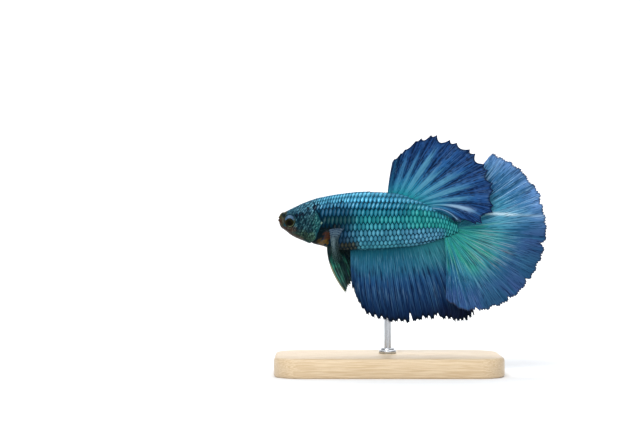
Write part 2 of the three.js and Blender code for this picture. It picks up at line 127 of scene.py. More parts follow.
def finish(name, **sockets):
    """A new material and its shader, with the given sockets set, such as Coat_Weight=0.3."""
    material = bpy.data.materials.new(name)
    material.use_nodes = True
    tree = material.node_tree
    shader = tree.nodes["Principled BSDF"]
    for socket, value in sockets.items():
        shader.inputs[socket.replace("_", " ")].default_value = value
    return material, tree, shader


def wire(tree, shader, **sockets):
    """Joins the shader's sockets to the patterns that feed them."""
    for socket, source in sockets.items():
        tree.links.new(source, shader.inputs[socket.replace("_", " ")])


def raised(tree, height, distance, strength=1.0):
    """The normal of a surface that stands out by height times distance, in metres."""
    inputs = {"Strength": strength, "Distance": distance, "Height": height}
    return node(tree, "ShaderNodeBump", inputs).outputs[0]


def row_millimetres(tree):
    """Object coordinates, counted in millimetres."""
    place = node(tree, "ShaderNodeTexCoord").outputs["Object"]
    return stretched(tree, place, (1000, 1000, 1000))


def grid_quads(rows, columns, wraps=False):
    """Quads over a grid of points, numbered row by row. Each row may wrap round to its start."""
    last = columns if wraps else columns - 1
    i, j = np.meshgrid(np.arange(rows - 1), np.arange(last), indexing="ij")
    here, beside = i * columns + j, i * columns + (j + 1) % columns
    return np.stack([here, here + columns, beside + columns, beside], -1).reshape(-1, 4)


def new_mesh(name, points, faces):
    """A mesh over an array or a list of points."""
    mesh = bpy.data.meshes.new(name)
    mesh.from_pydata(np.asarray(points).reshape(-1, 3).tolist(), [], faces)
    return mesh


def face_outwards(mesh, merged=0.0):
    """Turns a closed mesh's faces outwards, once points closer than merged are made one."""
    shape = bmesh.new()
    shape.from_mesh(mesh)
    if merged:
        bmesh.ops.remove_doubles(shape, verts=shape.verts, dist=merged)
    bmesh.ops.recalc_face_normals(shape, faces=shape.faces)
    shape.to_mesh(mesh)
    shape.free()


def closed_loft(name, rings):
    """A closed mesh over a stack of rings of points, with both ends capped."""
    rings = np.asarray(rings, float)
    count, around = rings.shape[:2]
    quads = np.roll(grid_quads(count, around, wraps=True)[:, ::-1], 1, axis=1)
    caps = [list(range(around))[::-1], list(range((count - 1) * around, count * around))]
    mesh = new_mesh(name, rings, quads.tolist() + caps)
    face_outwards(mesh, merged=1e-7)
    return mesh


def put_in_place(mesh, material, slot, *nodes):
    """Makes the mesh a piece of the model: it shows its material and stands for its CAD nodes."""
    made = bpy.data.objects.new(mesh.name, mesh)
    bpy.context.scene.collection.objects.link(made)
    if material:
        mesh.materials.clear()
        mesh.materials.append(material)
    mesh.shade_smooth()
    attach(made, "root")
    if nodes:
        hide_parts(*nodes)
    return made


def rounded_rectangle(half_x, half_y, corner, height):
    """A ring of points round a rectangle with round corners, at one height."""
    ring = []
    for k, (sx, sy) in enumerate(((1, -1), (1, 1), (-1, 1), (-1, -1))):
        for turn in np.radians(np.linspace(-90, 0, BASE_CORNER_STEPS) + 90 * k):
            x = sx * (half_x - corner) + corner * math.cos(turn)
            y = sy * (half_y - corner) + corner * math.sin(turn)
            ring.append((x, y, height))
    return ring


_, base_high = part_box("stand_base")
half_length, half_width = base_high.x, base_high.y
edge_turns = np.radians(np.linspace(0, 90, BASE_EDGE_STEPS))
insets = [(BASE_SOFTENING * (1 - math.cos(t)), BASE_SOFTENING * math.sin(t)) for t in edge_turns]
base_steps = [(BASE_SOFTENING * 0.5, 0.0), (0.0, BASE_SOFTENING * 0.5)]
base_steps += [(inset, base_high.z - BASE_SOFTENING + rise) for inset, rise in insets]
base_rings = [
    rounded_rectangle(half_length - inset, half_width - inset, BASE_CORNER - inset, height)
    for inset, height in base_steps
]

maple, tree, shader = finish("Satin maple", Roughness=0.42, Coat_Weight=0.25, Coat_Roughness=0.3)
place = row_millimetres(tree)
rings = noise(tree, stretched(tree, place, (0.012, 0.16, 0.5), (0, 3.1, 0)), 3.2, 3.0, 0.45)
bands = calc(tree, "SINE", calc(tree, "MULTIPLY", rings, 46.0))
fibres = noise(tree, stretched(tree, place, (0.09, 3.2, 3.2)), 2.4, 4.0, 0.6)
pores = noise(tree, stretched(tree, place, (0.5, 8.0, 8.0)), 3.0, 1.0)
flecks = ranged(tree, pores, 0.66, 0.74)
tone = blended(tree, ranged(tree, bands, -1.2, 1.3), colour(226, 205, 172), colour(206, 180, 142))
tone = blended(tree, ranged(tree, fibres, 0.3, 0.75, 0, 0.5), tone, colour(190, 160, 120))
tone = blended(tree, calc(tree, "MULTIPLY", flecks, 0.45), tone, colour(150, 118, 82))
dull = ranged(tree, fibres, 0.3, 0.7, 0.36, 0.52)
wire(tree, shader, Base_Color=tone, Roughness=dull, Normal=raised(tree, fibres, 0.00006, 0.5))
put_in_place(closed_loft("base_block", base_rings), maple, "stand_wood", "stand_base")

# ---- Stand rod and collar -----------------------------------------------------------------------
# One straight rod of brushed stainless steel runs from the base up into the fish's lower right
# flank. A turned collar of the same steel sits on the base round the rod's foot.

ROD_SIDES = 48
ROD_SOFTENING = 0.0003


def turned(name, profile, centre_x, centre_y):
    """A piece turned on a lathe about an upright axis, from its (radius, height) profile."""
    turns = np.linspace(0, 2 * math.pi, ROD_SIDES, endpoint=False)
    rings = [
        [(centre_x + r * math.cos(t), centre_y + r * math.sin(t), z) for t in turns] for r, z in profile
    ]
    return closed_loft(name, rings)


def brushed_steel(name, across):
    """Steel with the fine marks that its last brushing left, stretched by across."""
    steel, tree, shader = finish(name, Metallic=1.0)
    marks = noise(tree, stretched(tree, row_millimetres(tree), across), 1.0, 4.0, 0.6)
    tone = blended(tree, ranged(tree, marks, 0.3, 0.7), colour(176, 179, 183), colour(214, 216, 219))
    dull = ranged(tree, marks, 0.25, 0.75, 0.18, 0.34)
    wire(tree, shader, Base_Color=tone, Roughness=dull, Normal=raised(tree, marks, 0.00002, 0.4))
    return steel


rod_low, rod_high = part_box("stand_rod")
rod_x, rod_y = (rod_low.x + rod_high.x) / 2, (rod_low.y + rod_high.y) / 2
rod_radius = (rod_high.x - rod_low.x) / 2
rod_profile = [(rod_radius, rod_low.z)]
rod_profile += [(rod_radius, z) for z in np.linspace(base_high.z, rod_high.z - ROD_SOFTENING, 6)]
rod_profile += [(rod_radius * 0.8, rod_high.z)]
put_in_place(
    turned("rod", rod_profile, rod_x, rod_y),
    brushed_steel("Steel brushed lengthwise", (9.0, 9.0, 0.35)),
    "stand_steel",
    "stand_rod",
)

collar_low, collar_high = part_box("stand_collar")
collar_radius = (collar_high.x - collar_low.x) / 2
collar_tall = collar_high.z - collar_low.z
collar_shape = ((0.93, 0.0), (1.0, 0.06), (1.0, 0.5), (0.97, 0.58), (0.9, 0.62), (0.84, 0.66))
collar_shape += ((0.8, 0.72), (0.78, 0.86), (0.75, 0.95), (0.69, 1.0), (0.5, 1.0), (0.46, 0.94))
collar_profile = [(collar_radius * r, collar_low.z + collar_tall * z) for r, z in collar_shape]
collar_profile += [(rod_radius * 1.02, collar_profile[-1][1]), (rod_radius * 1.02, collar_low.z)]
put_in_place(
    turned("collar", collar_profile, rod_x, rod_y),
    brushed_steel("Steel brushed round", (0.8, 0.8, 14.0)),
    "stand_steel",
    "stand_collar",
)

# ---- Body skin ----------------------------------------------------------------------------------
# One unbroken skin covers head, jaw, gill covers, trunk and tail stalk, as on the living fish. It
# is a loft over rings whose height and width follow the body, drawn in at the snout and the stalk,
# and then raised or sunk where the head has lips, nostrils, eye rims, gill covers and folds.

# The fish's own frame is in millimetres behind the snout, and is laid by its left eye's box.
eye_low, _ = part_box("eye_left")
EYE_X, EYE_Z = 2.95, -0.28
EYE_RADIUS = 1.52
EYE_WIDE, EYE_TALL = 0.92, 1.08
MM = 0.001
EYE_CORNER = np.array([EYE_X - EYE_RADIUS, 0, EYE_Z - EYE_RADIUS])
FISH_AT = np.array([eye_low.x, 0, eye_low.z]) - MM * EYE_CORNER
BODY_LENGTH = 45.6
SNOUT_ROUNDING = 0.95
STALK_ROUNDING = 1.4
WIDEST_RISE = 0.12
FULLNESS = 0.92
SCALE_DEPTH = 0.2
HEAD_SCALE_DEPTH = 0.08
SKIN_AROUND = 216

# Stations behind the snout: (x, height of the back, height of the belly, half the width).
STATIONS = (
    (0.0, 1.75, -1.55, 1.15),
    (1.4, 2.2, -2.5, 1.75),
    (3.6, 3.15, -4.15, 2.4),
    (7.0, 4.7, -5.6, 3.1),
    (10.6, 5.85, -6.6, 3.55),
    (16.0, 6.85, -7.75, 3.75),
    (22.5, 7.4, -7.6, 3.6),
    (29.0, 7.15, -7.2, 3.15),
    (34.5, 5.55, -6.8, 2.45),
    (40.0, 3.05, -5.5, 1.6),
    (43.4, 1.0, -4.4, 1.15),
    (46.0, -0.6, -3.5, 0.85),
    (48.0, -1.5, -3.0, 0.7),
)


def through(knots_x, knots_y):
    """A smooth curve through knots that never overshoots them, as a function of x."""
    x, y = np.asarray(knots_x, float), np.asarray(knots_y, float)
    slope = np.diff(y) / np.diff(x)
    tangent = np.concatenate([slope[:1], np.zeros(len(x) - 2), slope[-1:]])
    before, after = slope[:-1], slope[1:]
    goes_on = before * after > 0
    tangent[1:-1][goes_on] = (2 * before * after)[goes_on] / (before + after)[goes_on]

    def curve(at):
        at = np.asarray(at, float)
        i = np.clip(np.searchsorted(x, at, side="right") - 1, 0, len(x) - 2)
        span = x[i + 1] - x[i]
        t = np.clip((at - x[i]) / span, 0, 1)
        ends = y[i] * (1 + 2 * t) * (1 - t) ** 2 + y[i + 1] * (3 - 2 * t) * t**2
        return ends + span * t * (1 - t) * (tangent[i] * (1 - t) - tangent[i + 1] * t)

    return curve


def ease(low, high, x):
    """0 below low, 1 above high, and a smooth rise between."""
    t = np.clip((np.asarray(x, float) - low) / (high - low), 0, 1)
    return t * t * (3 - 2 * t)


def ridge(distance, width):
    """1 at no distance, falling away smoothly within width."""
    return np.exp(-((np.asarray(distance) / width) ** 2))


station_x, station_back, station_belly, station_half = zip(*STATIONS)
back = through(station_x, station_back)
belly = through(station_x, station_belly)
half_of = through(station_x, station_half)


def smooth_body(x, turn, inset, opening=1.0):
    """Points of the bare body. turn is 0 at the belly, 0.25 on the left flank and 0.5 at the back."""
    angle = 2 * math.pi * turn
    middle = 0.5 * (back(x) + belly(x)) + WIDEST_RISE * (back(x) - belly(x)) * ease(6, 20, x)
    up = -np.cos(angle)
    tall = np.where(up > 0, back(x) - middle, middle - belly(x))
    out = -np.sign(np.sin(angle)) * np.abs(np.sin(angle)) ** FULLNESS
    y = (half_of(x) - inset) * opening * out
    return np.stack([x + 0 * y, y, middle + (tall - inset) * opening * up], -1)


gill_edge = through(
    (-6.9, -6.1, -5.4, -4.7, -3.3, -2.0, -1.2, -0.6, -0.1, 0.6, 1.6, 2.7, 3.2),
    (7.0, 7.9, 8.7, 9.5, 9.95, 10.5, 10.95, 11.3, 10.85, 10.4, 9.95, 9.4, 9.2),
)
mouth_line = through((-0.2, 0.0, 0.5, 1.0, 1.5), (0.62, 0.42, -0.12, -0.78, -1.5))
jaw_crease = through((1.3, 2.4, 3.6, 5.2, 7.0), (-1.35, -2.35, -3.1, -3.9, -4.6))
cheek_crease = through((-5.7, -4.3, -2.0, 0.0, 1.6), (8.3, 6.7, 5.9, 6.1, 6.9))
NOSTRILS = ((1.35, 1.12, 0.13), (2.0, 1.62, 0.16))
SHOULDER = (11.8, -4.5)
GILL_FOOT = -6.9
NAPE_FLOOR = 2.6

# Dark spots on the head: (x, z, how far off a scale may sit and still be dark).
DARK_SPOTS = (
    (9.35, 2.8, 0.6),
    (7.65, 2.5, 0.3),
    (6.35, 1.65, 0.2),
    (5.6, 1.07, 0.2),
    (4.6, 0.97, 0.2),
)
SPOT_RADIUS = 0.28


def off_eye(x, z):
    """The distance from the middle of the eye, counted as if the oval eye were round."""
    return np.hypot((x - EYE_X) / EYE_WIDE, (z - EYE_Z) / EYE_TALL)


def relief(x, z):
    """How far the head's features stand out from the bare body, or are sunk into it."""
    raise_by = np.zeros_like(x)
    # The two lips, the mouth between them and the fold behind the upper one.
    near_mouth = 1 - ease(1.25, 1.6, x)
    off_mouth = (z - mouth_line(x)) * 0.66
    raise_by += near_mouth * (0.13 * ridge(np.abs(off_mouth) - 0.27, 0.2) - 0.24 * ridge(off_mouth, 0.08))
    raise_by -= near_mouth * 0.06 * ridge(np.abs(off_mouth) - 0.6, 0.1)
    raise_by -= 0.1 * ridge(x - 1.55, 0.25) * ease(1.5, 2.0, z)
    # The eye's socket, with soft rims round it.
    from_eye = off_eye(x, z)
    raise_by = np.where(from_eye < 1.9, raise_by * ease(1.5, 1.9, from_eye), raise_by)
    raise_by -= 1.0 * (1 - ease(1.22, 1.6, from_eye))
    raise_by += 0.11 * ridge(from_eye - 1.7, 0.15) - 0.05 * ridge(from_eye - 2.02, 0.12)
    raise_by += 0.04 * ridge(from_eye - 2.3, 0.2)
    # The two nostrils on either side.
    for at_x, at_z, radius in NOSTRILS:
        from_nostril = np.hypot(x - at_x, z - at_z)
        raise_by += 0.07 * ridge(from_nostril - 1.5 * radius, 0.6 * radius)
        raise_by -= 0.16 * ridge(from_nostril, 0.8 * radius)
    # The crease above the lower jaw, and the one across the cheek.
    on_jaw = ease(1.2, 1.8, x) * (1 - ease(6.0, 7.5, x))
    raise_by -= on_jaw * 0.09 * ridge(z - jaw_crease(x), 0.14)
    raise_by += on_jaw * 0.05 * ridge(z - jaw_crease(x) - 0.34, 0.2)
    raise_by += on_jaw * 0.05 * ridge(z - jaw_crease(x) + 0.34, 0.2)
    on_cheek = ease(-6.0, -5.4, z) * (1 - ease(1.1, 2.0, z))
    raise_by -= on_cheek * 0.10 * ridge(x - cheek_crease(z), 0.15)
    raise_by += on_cheek * 0.07 * ridge(x - cheek_crease(z) + 0.4, 0.3)
    # The gill cover's flared edge, and the slit behind it.
    behind = x - gill_edge(z)
    on_gill = ease(GILL_FOOT, -6.2, z) * (1 - ease(2.3, 3.1, z))
    cover = 0.13 * np.exp(np.minimum(behind, 0) / 0.9) - 0.04 * ridge(behind + 1.5, 0.2)
    slit = -0.36 * np.exp(-np.maximum(behind, 0) / 0.6)
    raise_by += on_gill * np.where(behind < 0, cover, 0) * (1 - ease(-0.07, 0.07, behind))
    raise_by += on_gill * slit * ease(-0.07, 0.07, behind)
    # Folds across the throat, and the swelling that carries the breast fin.
    throat = ease(3.4, 5.0, x) * (1 - ease(7.0, 8.6, x)) * (1 - ease(-4.9, -4.3, z))
    raise_by -= throat * 0.06 * ridge(np.sin(3.6 * (z - 0.45 * x)), 0.35)
    shoulder = np.hypot((x - SHOULDER[0]) / 1.25, (z - SHOULDER[1]) / 1.9)
    raise_by += 0.24 * (1 - ease(0.35, 1.15, shoulder))
    return raise_by


def normals_of(grid):
    """Outward directions over a grid of points whose second axis runs once round the body."""
    along = np.gradient(grid, axis=0)
    around = np.roll(grid, -1, 1) - np.roll(grid, 1, 1)
    out = np.cross(along, around)
    return out / (np.linalg.norm(out, axis=-1, keepdims=True) + 1e-12)


def light(red, green, blue):
    """A colour as linear light, for arithmetic."""
    return np.array(colour(red, green, blue)[:3])


def painted(under, over, share):
    """Colours with others, or with one screen colour, laid over them by a share for each place."""
    over = light(*over) if isinstance(over, tuple) else over
    return under + (over - under) * np.asarray(share)[..., None]


def shade_of(where, *stops):
    """Colours that pass smoothly over stops of a place and its red, green and blue on the screen."""
    places, tones = [stop[0] for stop in stops], [light(*stop[1:]) for stop in stops]
    return np.stack([through(places, [tone[k] for tone in tones])(where) for k in range(3)], -1)


def oval(x, z, centre, radii, soft=0.35):
    """1 inside an oval and 0 outside it, with a soft edge."""
    away = np.hypot((x - centre[0]) / radii[0], (z - centre[1]) / radii[1])
    return 1 - ease(1 - soft, 1 + soft, away)


def body_markings(x, z):
    """Bands of blue, teal and green along the body, dusky in front and olive under the belly."""
    share = (z - belly(x)) / (back(x) - belly(x))
    tone = shade_of(
        share,
        (0.0, 76, 164, 186),
        (0.12, 62, 138, 162),
        (0.27, 62, 132, 156),
        (0.37, 44, 130, 148),
        (0.46, 32, 134, 138),
        (0.56, 26, 124, 136),
        (0.68, 26, 114, 138),
        (0.79, 32, 108, 138),
        (0.9, 72, 156, 188),
        (1.0, 86, 164, 194),
    )
    on_stalk = ease(41, 43.5, x)
    green = ease(30, 36, x) * ease(0.38, 0.48, share) * (1 - ease(0.72, 0.95, share))
    tone = painted(tone, (28, 136, 132), 0.85 * np.maximum(green, on_stalk))
    steel_blue = ease(29, 36, x) * (1 - ease(0.3, 0.42, share)) * (1 - on_stalk)
    tone = painted(tone, (78, 134, 166), 0.7 * steel_blue)
    dusk = (1 - ease(16.5, 22.2, x)) * (1 - ease(0.5, 6.6, z))
    tone = painted(tone, (14, 56, 88), 0.97 * dusk)
    tone = painted(tone, (8, 58, 56), 0.8 * dusk * oval(x, z, (15.5, -0.2), (4.8, 1.6)))
    return painted(tone, (54, 48, 22), 0.9 * oval(x, z, (17.8, -6.7), (2.7, 1.5)))


def head_markings(x, z):
    """Dusky blue-green, olive low on the cheek, and brown on the snout, the lips and the jaw."""
    tone = shade_of(
        z,
        (-3.0, 16, 56, 66),
        (1.0, 14, 56, 72),
        (2.4, 52, 100, 122),
        (4.5, 56, 112, 138),
    )
    tone = painted(tone, (20, 74, 76), 0.8 * oval(x, z, (9.5, -0.6), (1.2, 2.8)))
    tone = painted(tone, (38, 54, 26), 0.9 * oval(x, z, (5.9, -4.1), (2.6, 1.5)))
    tone = painted(tone, (50, 80, 60), 0.85 * oval(x, z, (8.4, -4.4), (1.1, 1.3)))
    tone = painted(tone, (10, 36, 50), 0.85 * ridge(off_eye(x, z) - 2.0, 0.4) * ease(2.9, 3.9, x))
    tone = painted(tone, (56, 30, 6), oval(x, z, (2.9, -2.3), (2.1, 0.8)))
    snout = 1 - ease(1.2, 2.0, x - 0.3 * z)
    tone = painted(tone, (58, 54, 26), snout)
    tone = painted(tone, (20, 30, 32), snout * oval(x, z, (1.35, 1.3), (0.55, 0.5)))
    tone = painted(tone, (70, 68, 56), 0.8 * oval(x, z, (1.15, 0.0), (0.32, 1.1)))
    tone = painted(tone, (12, 20, 22), 0.9 * oval(x, z, (1.35, 1.15), (0.3, 0.55)))
    tone = painted(tone, (64, 40, 26), snout * oval(x, z, (0.2, -0.35), (0.75, 0.95)))
    below_jaw = 1 - ease(-0.5, 0.3, z - jaw_crease(x))
    return painted(tone, (62, 48, 40), below_jaw * (1 - ease(5.6, 7.6, x)))


def behind_gills(tone, x, z):
    """The colours with painted black shade in the slit, the orange breast below it and the pale tip of the
    cover.
    """
    behind = x - gill_edge(z)
    # Painted shade, near black: the slit under the gill cover's edge, and a painted shadow in the oval
    # above the breast fin's root.
    slit = ease(-0.12, 0.1, behind) * (1 - ease(1.6, 2.6, behind)) * (1 - ease(-0.9, 0.1, z))
    slit = np.maximum(slit, ridge(behind - 0.4, 0.6) * (1 - ease(1.6, 2.6, z)))
    slit = np.maximum(slit * ease(-7.2, -6.4, z), oval(x, z, (13.2, -1.75), (2.5, 1.1), 0.4))
    slit = slit * (1 - ease(-0.3, 0.1, -behind))
    tone = painted(tone, (1, 5, 7), 0.98 * slit)
    mottled = 0.5 + 0.5 * np.sin(5.3 * x + 2.9 * z) * np.sin(6.1 * z - 3.7 * x)
    away = 0.3 * np.sin(3.1 * x - 4.7 * z)
    tone = painted(tone, (10, 16, 12), 0.9 * oval(x, z, (13.0, -4.6), (1.3, 2.6)))
    orange = oval(x + away, z, (12.45, -4.05), (0.85, 1.2), 0.5)
    tone = painted(tone, (76, 38, 8), (0.45 + 0.4 * mottled) * orange)
    gold = oval(x, z + away, (11.5, -5.9), (1.5, 1.0), 0.4)
    tone = painted(tone, (98, 72, 16), (0.65 + 0.3 * mottled) * gold)
    return painted(tone, (96, 124, 112), oval(x, z, (11.0, -0.72), (0.26, 0.36)))


def markings(x, z):
    """The fish's colours and the painted shade of its gill slit, the same for the skin and the scales on
    it.
    """
    on_head = 1 - ease(-0.3, 0.5, x - gill_edge(z))
    on_head = np.where(z > NAPE_FLOOR, 1 - ease(8.2, 10.6, x), on_head)
    tone = painted(body_markings(x, z), head_markings(x, z), on_head)
    for spot in DARK_SPOTS:
        tone = painted(tone, (4, 20, 36), 0.95 * oval(x, z, spot, (SPOT_RADIUS, SPOT_RADIUS)))
    return behind_gills(tone, x, z)


def dash_strength(x, z):
    """How strongly the slanted dashes show: on the cheeks and gill covers, not the lips and jaw."""
    before_nape = 1 - ease(9, 12, x)
    before_gill = 1 - ease(-0.5, 0, x - gill_edge(z))
    on_head = ease(1.4, 3.0, x - 0.3 * z) * np.where(z > NAPE_FLOOR, before_nape, before_gill)
    for spot in DARK_SPOTS:
        on_head = on_head * (1 - oval(x, z, spot, (SPOT_RADIUS, SPOT_RADIUS)))
    return np.clip(on_head * (0.3 + 0.7 * ease(-0.3, 0.6, z - jaw_crease(x))), 0, 1)


# The rings lie close together on the head, where the features are small.
HEAD_STEP, BODY_STEP = 0.085, 0.24
HEAD_RINGS_END, BODY_RINGS_START = 12.6, 12.8
snout_turns = np.linspace(0.06, math.pi / 2, 26)
stalk_turns = np.linspace(0.1, math.pi / 2 - 0.06, 14)
skin_x = np.concatenate(
    [
        SNOUT_ROUNDING * (1 - np.cos(snout_turns)),
        np.arange(SNOUT_ROUNDING + HEAD_STEP, HEAD_RINGS_END, HEAD_STEP),
        np.arange(BODY_RINGS_START, BODY_LENGTH - STALK_ROUNDING, BODY_STEP),
        BODY_LENGTH - STALK_ROUNDING * (1 - np.sin(stalk_turns)),
    ]
)
skin_turn = np.arange(SKIN_AROUND) / SKIN_AROUND
grid_x, grid_turn = np.meshgrid(skin_x, skin_turn, indexing="ij")
snout_share = np.clip(grid_x / SNOUT_ROUNDING, 0, 1)
stalk_share = np.clip((BODY_LENGTH - grid_x) / STALK_ROUNDING, 0, 1)
opening = np.sqrt(1 - (1 - snout_share) ** 2) * np.sqrt(1 - (1 - stalk_share) ** 2)


def under_scales(x):
    """How deep the skin lies under the outline, to leave room for the scales on it."""
    return HEAD_SCALE_DEPTH + (SCALE_DEPTH - HEAD_SCALE_DEPTH) * ease(8, 13, x)


skin_points = smooth_body(grid_x, grid_turn, under_scales(grid_x), opening)
skin_points += normals_of(skin_points) * relief(skin_points[..., 0], skin_points[..., 2])[..., None]


def in_row(points):
    """Points of the fish's own frame, in the row frame and in metres."""
    return FISH_AT + MM * np.asarray(points, float)


def attribute(mesh, name, kind, values, domain="POINT"):
    """Stores one value for each vertex or corner of a mesh."""
    made = mesh.attributes.new(name, kind, domain)
    field = {"FLOAT": "value", "FLOAT_COLOR": "color"}.get(kind, "vector")
    values = np.asarray(values, np.float32)
    if kind == "FLOAT_COLOR":
        values = np.concatenate([values, np.ones((len(values), 1), np.float32)], 1)
    made.data.foreach_set(field, values.ravel())


ring_count = len(skin_x)
skin_quads = grid_quads(ring_count, SKIN_AROUND, wraps=True)
snout_fan = [[k, (k + 1) % SKIN_AROUND, ring_count * SKIN_AROUND] for k in range(SKIN_AROUND)]
last = (ring_count - 1) * SKIN_AROUND
stalk_fan = [
    [last + (k + 1) % SKIN_AROUND, last + k, ring_count * SKIN_AROUND + 1] for k in range(SKIN_AROUND)
]
ends = [skin_points[0].mean(0), skin_points[-1].mean(0)]
skin_vertices = np.concatenate([skin_points.reshape(-1, 3), ends])
skin_mesh = new_mesh("skin", in_row(skin_vertices), skin_quads.tolist() + snout_fan + stalk_fan)
attribute(skin_mesh, "marking", "FLOAT_COLOR", markings(skin_vertices[:, 0], skin_vertices[:, 2]))
attribute(skin_mesh, "dash", "FLOAT", dash_strength(skin_vertices[:, 0], skin_vertices[:, 2]))

# The skin's unwrap: x along the body, and the turn round it. No face reaches back over its seam.
UNWRAP_LENGTH = 50.0
here_turn, beside_turn = grid_turn[:-1], grid_turn[:-1] + 1 / SKIN_AROUND
corner_turn = np.stack([here_turn, here_turn, beside_turn, beside_turn], -1)
corner_x = np.stack([grid_x[:-1], grid_x[1:], grid_x[1:], grid_x[:-1]], -1)
unwrap = np.stack([corner_x / UNWRAP_LENGTH, corner_turn], -1).reshape(-1, 2)
fan_places = []
for at, order in ((skin_x[0] - 0.02, (0, 1)), (BODY_LENGTH, (1, 0))):
    edge = skin_x[0] if at < 1 else skin_x[-1]
    for turn in skin_turn:
        pair = [(edge / UNWRAP_LENGTH, turn + step / SKIN_AROUND) for step in order]
        fan_places += [*pair, (at / UNWRAP_LENGTH, turn + 0.5 / SKIN_AROUND)]
skin_map = skin_mesh.uv_layers.new(name="Unwrap")
skin_map.data.foreach_set("uv", np.concatenate([unwrap, fan_places]).astype(np.float32).ravel())


def slanted(tree, vector, degrees, along, across):
    """The same coordinates with a grain that rises towards +X at an angle, seen from the side."""
    turned_over = node(tree, "ShaderNodeMapping", {0: vector, 2: (0, math.radians(degrees), 0)})
    return stretched(tree, turned_over.outputs[0], (along, across, across))


def carried(tree, name, socket="Fac"):
    """The value that a mesh carries under this name."""
    return node(tree, "ShaderNodeAttribute", attribute_name=name).outputs[socket]


def tinted(tree, tone, red, green, blue):
    """A colour with each of its parts multiplied."""
    return blended(tree, 1.0, tone, (red, green, blue, 1.0), "MULTIPLY")


def node_group(name, kind, inputs, outputs):
    """A new group of nodes with sockets of the given kinds, and what it is given."""
    tree = bpy.data.node_groups.new(name, kind)
    for in_out, sockets in (("INPUT", inputs), ("OUTPUT", outputs)):
        for socket, value in sockets.items():
            tree.interface.new_socket(socket, in_out=in_out, socket_type="NodeSocket" + value)
    return tree, node(tree, "NodeGroupInput").outputs


def dashes():
    """Short slanted strokes, dark and pale, over the markings, as strong as the dash attribute."""
    sockets = {"Marking": "Color"}, {"Color": "Color"}
    tree, given = node_group("Slanted dashes", "ShaderNodeTree", *sockets)
    marking = given["Marking"]
    amount = carried(tree, "dash")
    place = row_millimetres(tree)
    stroke = noise(tree, slanted(tree, place, 56, along=0.9, across=3.0), 1.0, 2.0, 0.6)
    dark = calc(tree, "MULTIPLY", ranged(tree, stroke, 0.52, 0.42), amount)
    crossing = noise(tree, slanted(tree, place, -48, along=1.3, across=3.4), 1.0, 2.0, 0.6)
    crossed = ranged(tree, crossing, 0.58, 0.68, 0.0, 0.7)
    pale = calc(tree, "MAXIMUM", ranged(tree, stroke, 0.52, 0.62), crossed)
    pale = calc(tree, "MULTIPLY", pale, amount)
    tone = blended(tree, calc(tree, "MULTIPLY", dark, 0.7), marking, colour(4, 26, 38))
    lit = tinted(tree, tone, 2.1, 1.9, 1.7)
    lit = blended(tree, 0.25, lit, colour(116, 160, 156))
    tone = blended(tree, pale, tone, lit)
    node(tree, "NodeGroupOutput", {0: tone})
    return tree


WET = {"Specular_IOR_Level": 0.07, "Specular_Tint": (0.2, 0.75, 1.0, 1.0), "Coat_Weight": 0.03}
dashed = dashes()
skin_finish, tree, shader = finish("Wet skin", Coat_Roughness=0.15, **WET)
place = row_millimetres(tree)
marking = carried(tree, "marking", "Color")
specks = noise(tree, place, 5.2, 3.0, 0.65)
pigment = noise(tree, place, 16.0, 2.0, 0.6)
tone = node(tree, "ShaderNodeGroup", {"Marking": marking}, node_tree=dashed).outputs[0]
tone = blended(tree, ranged(tree, specks, 0.6, 0.72, 0.0, 0.25), tone, colour(96, 140, 136))
tone = blended(tree, ranged(tree, pigment, 0.56, 0.7, 0.0, 0.55), tone, colour(8, 16, 18))
dull = ranged(tree, specks, 0.3, 0.7, 0.46, 0.3)
grain = calc(tree, "ADD", calc(tree, "MULTIPLY", pigment, 0.5), specks)
wire(tree, shader, Base_Color=tone, Roughness=dull, Normal=raised(tree, grain, 0.00005, 0.6))
flesh = ("head", "lower_jaw", "gill_cover_left", "gill_cover_right", "trunk", "tail_stalk")
put_in_place(skin_mesh, skin_finish, "head_skin", *flesh)

# ---- Body scales --------------------------------------------------------------------------------
# Thin bony plates in rows from the gills to the tail fin, each rooted in the skin and lying on the
# ones behind it. The dark net round their free edges is partly pigment and partly painted shade in
# the gaps between them, and each middle carries a pale stroke of painted highlight.

SCALE_PITCH = 1.06
SCALE_OVERLAP = 1.35
SCALE_LIFT = 0.15
SCALE_THICKNESS = 0.06
PATCH = 0.003
MIDDLE_ROW_Z = 0.12

# How far each row lies above the middle one, round the thickest part of the body. Beyond the place
# CROWDED_ABOVE the rows draw together at the shoulder.
ROW_PLACES = (-9.5, -8.45, -7.35, -6.15, -4.85, -3.4, -1.75, 0.0, 1.85, 3.55, 5.2, 6.85, 8.4, 9.9, 11.4)
CROWDED_ABOVE = 3.55


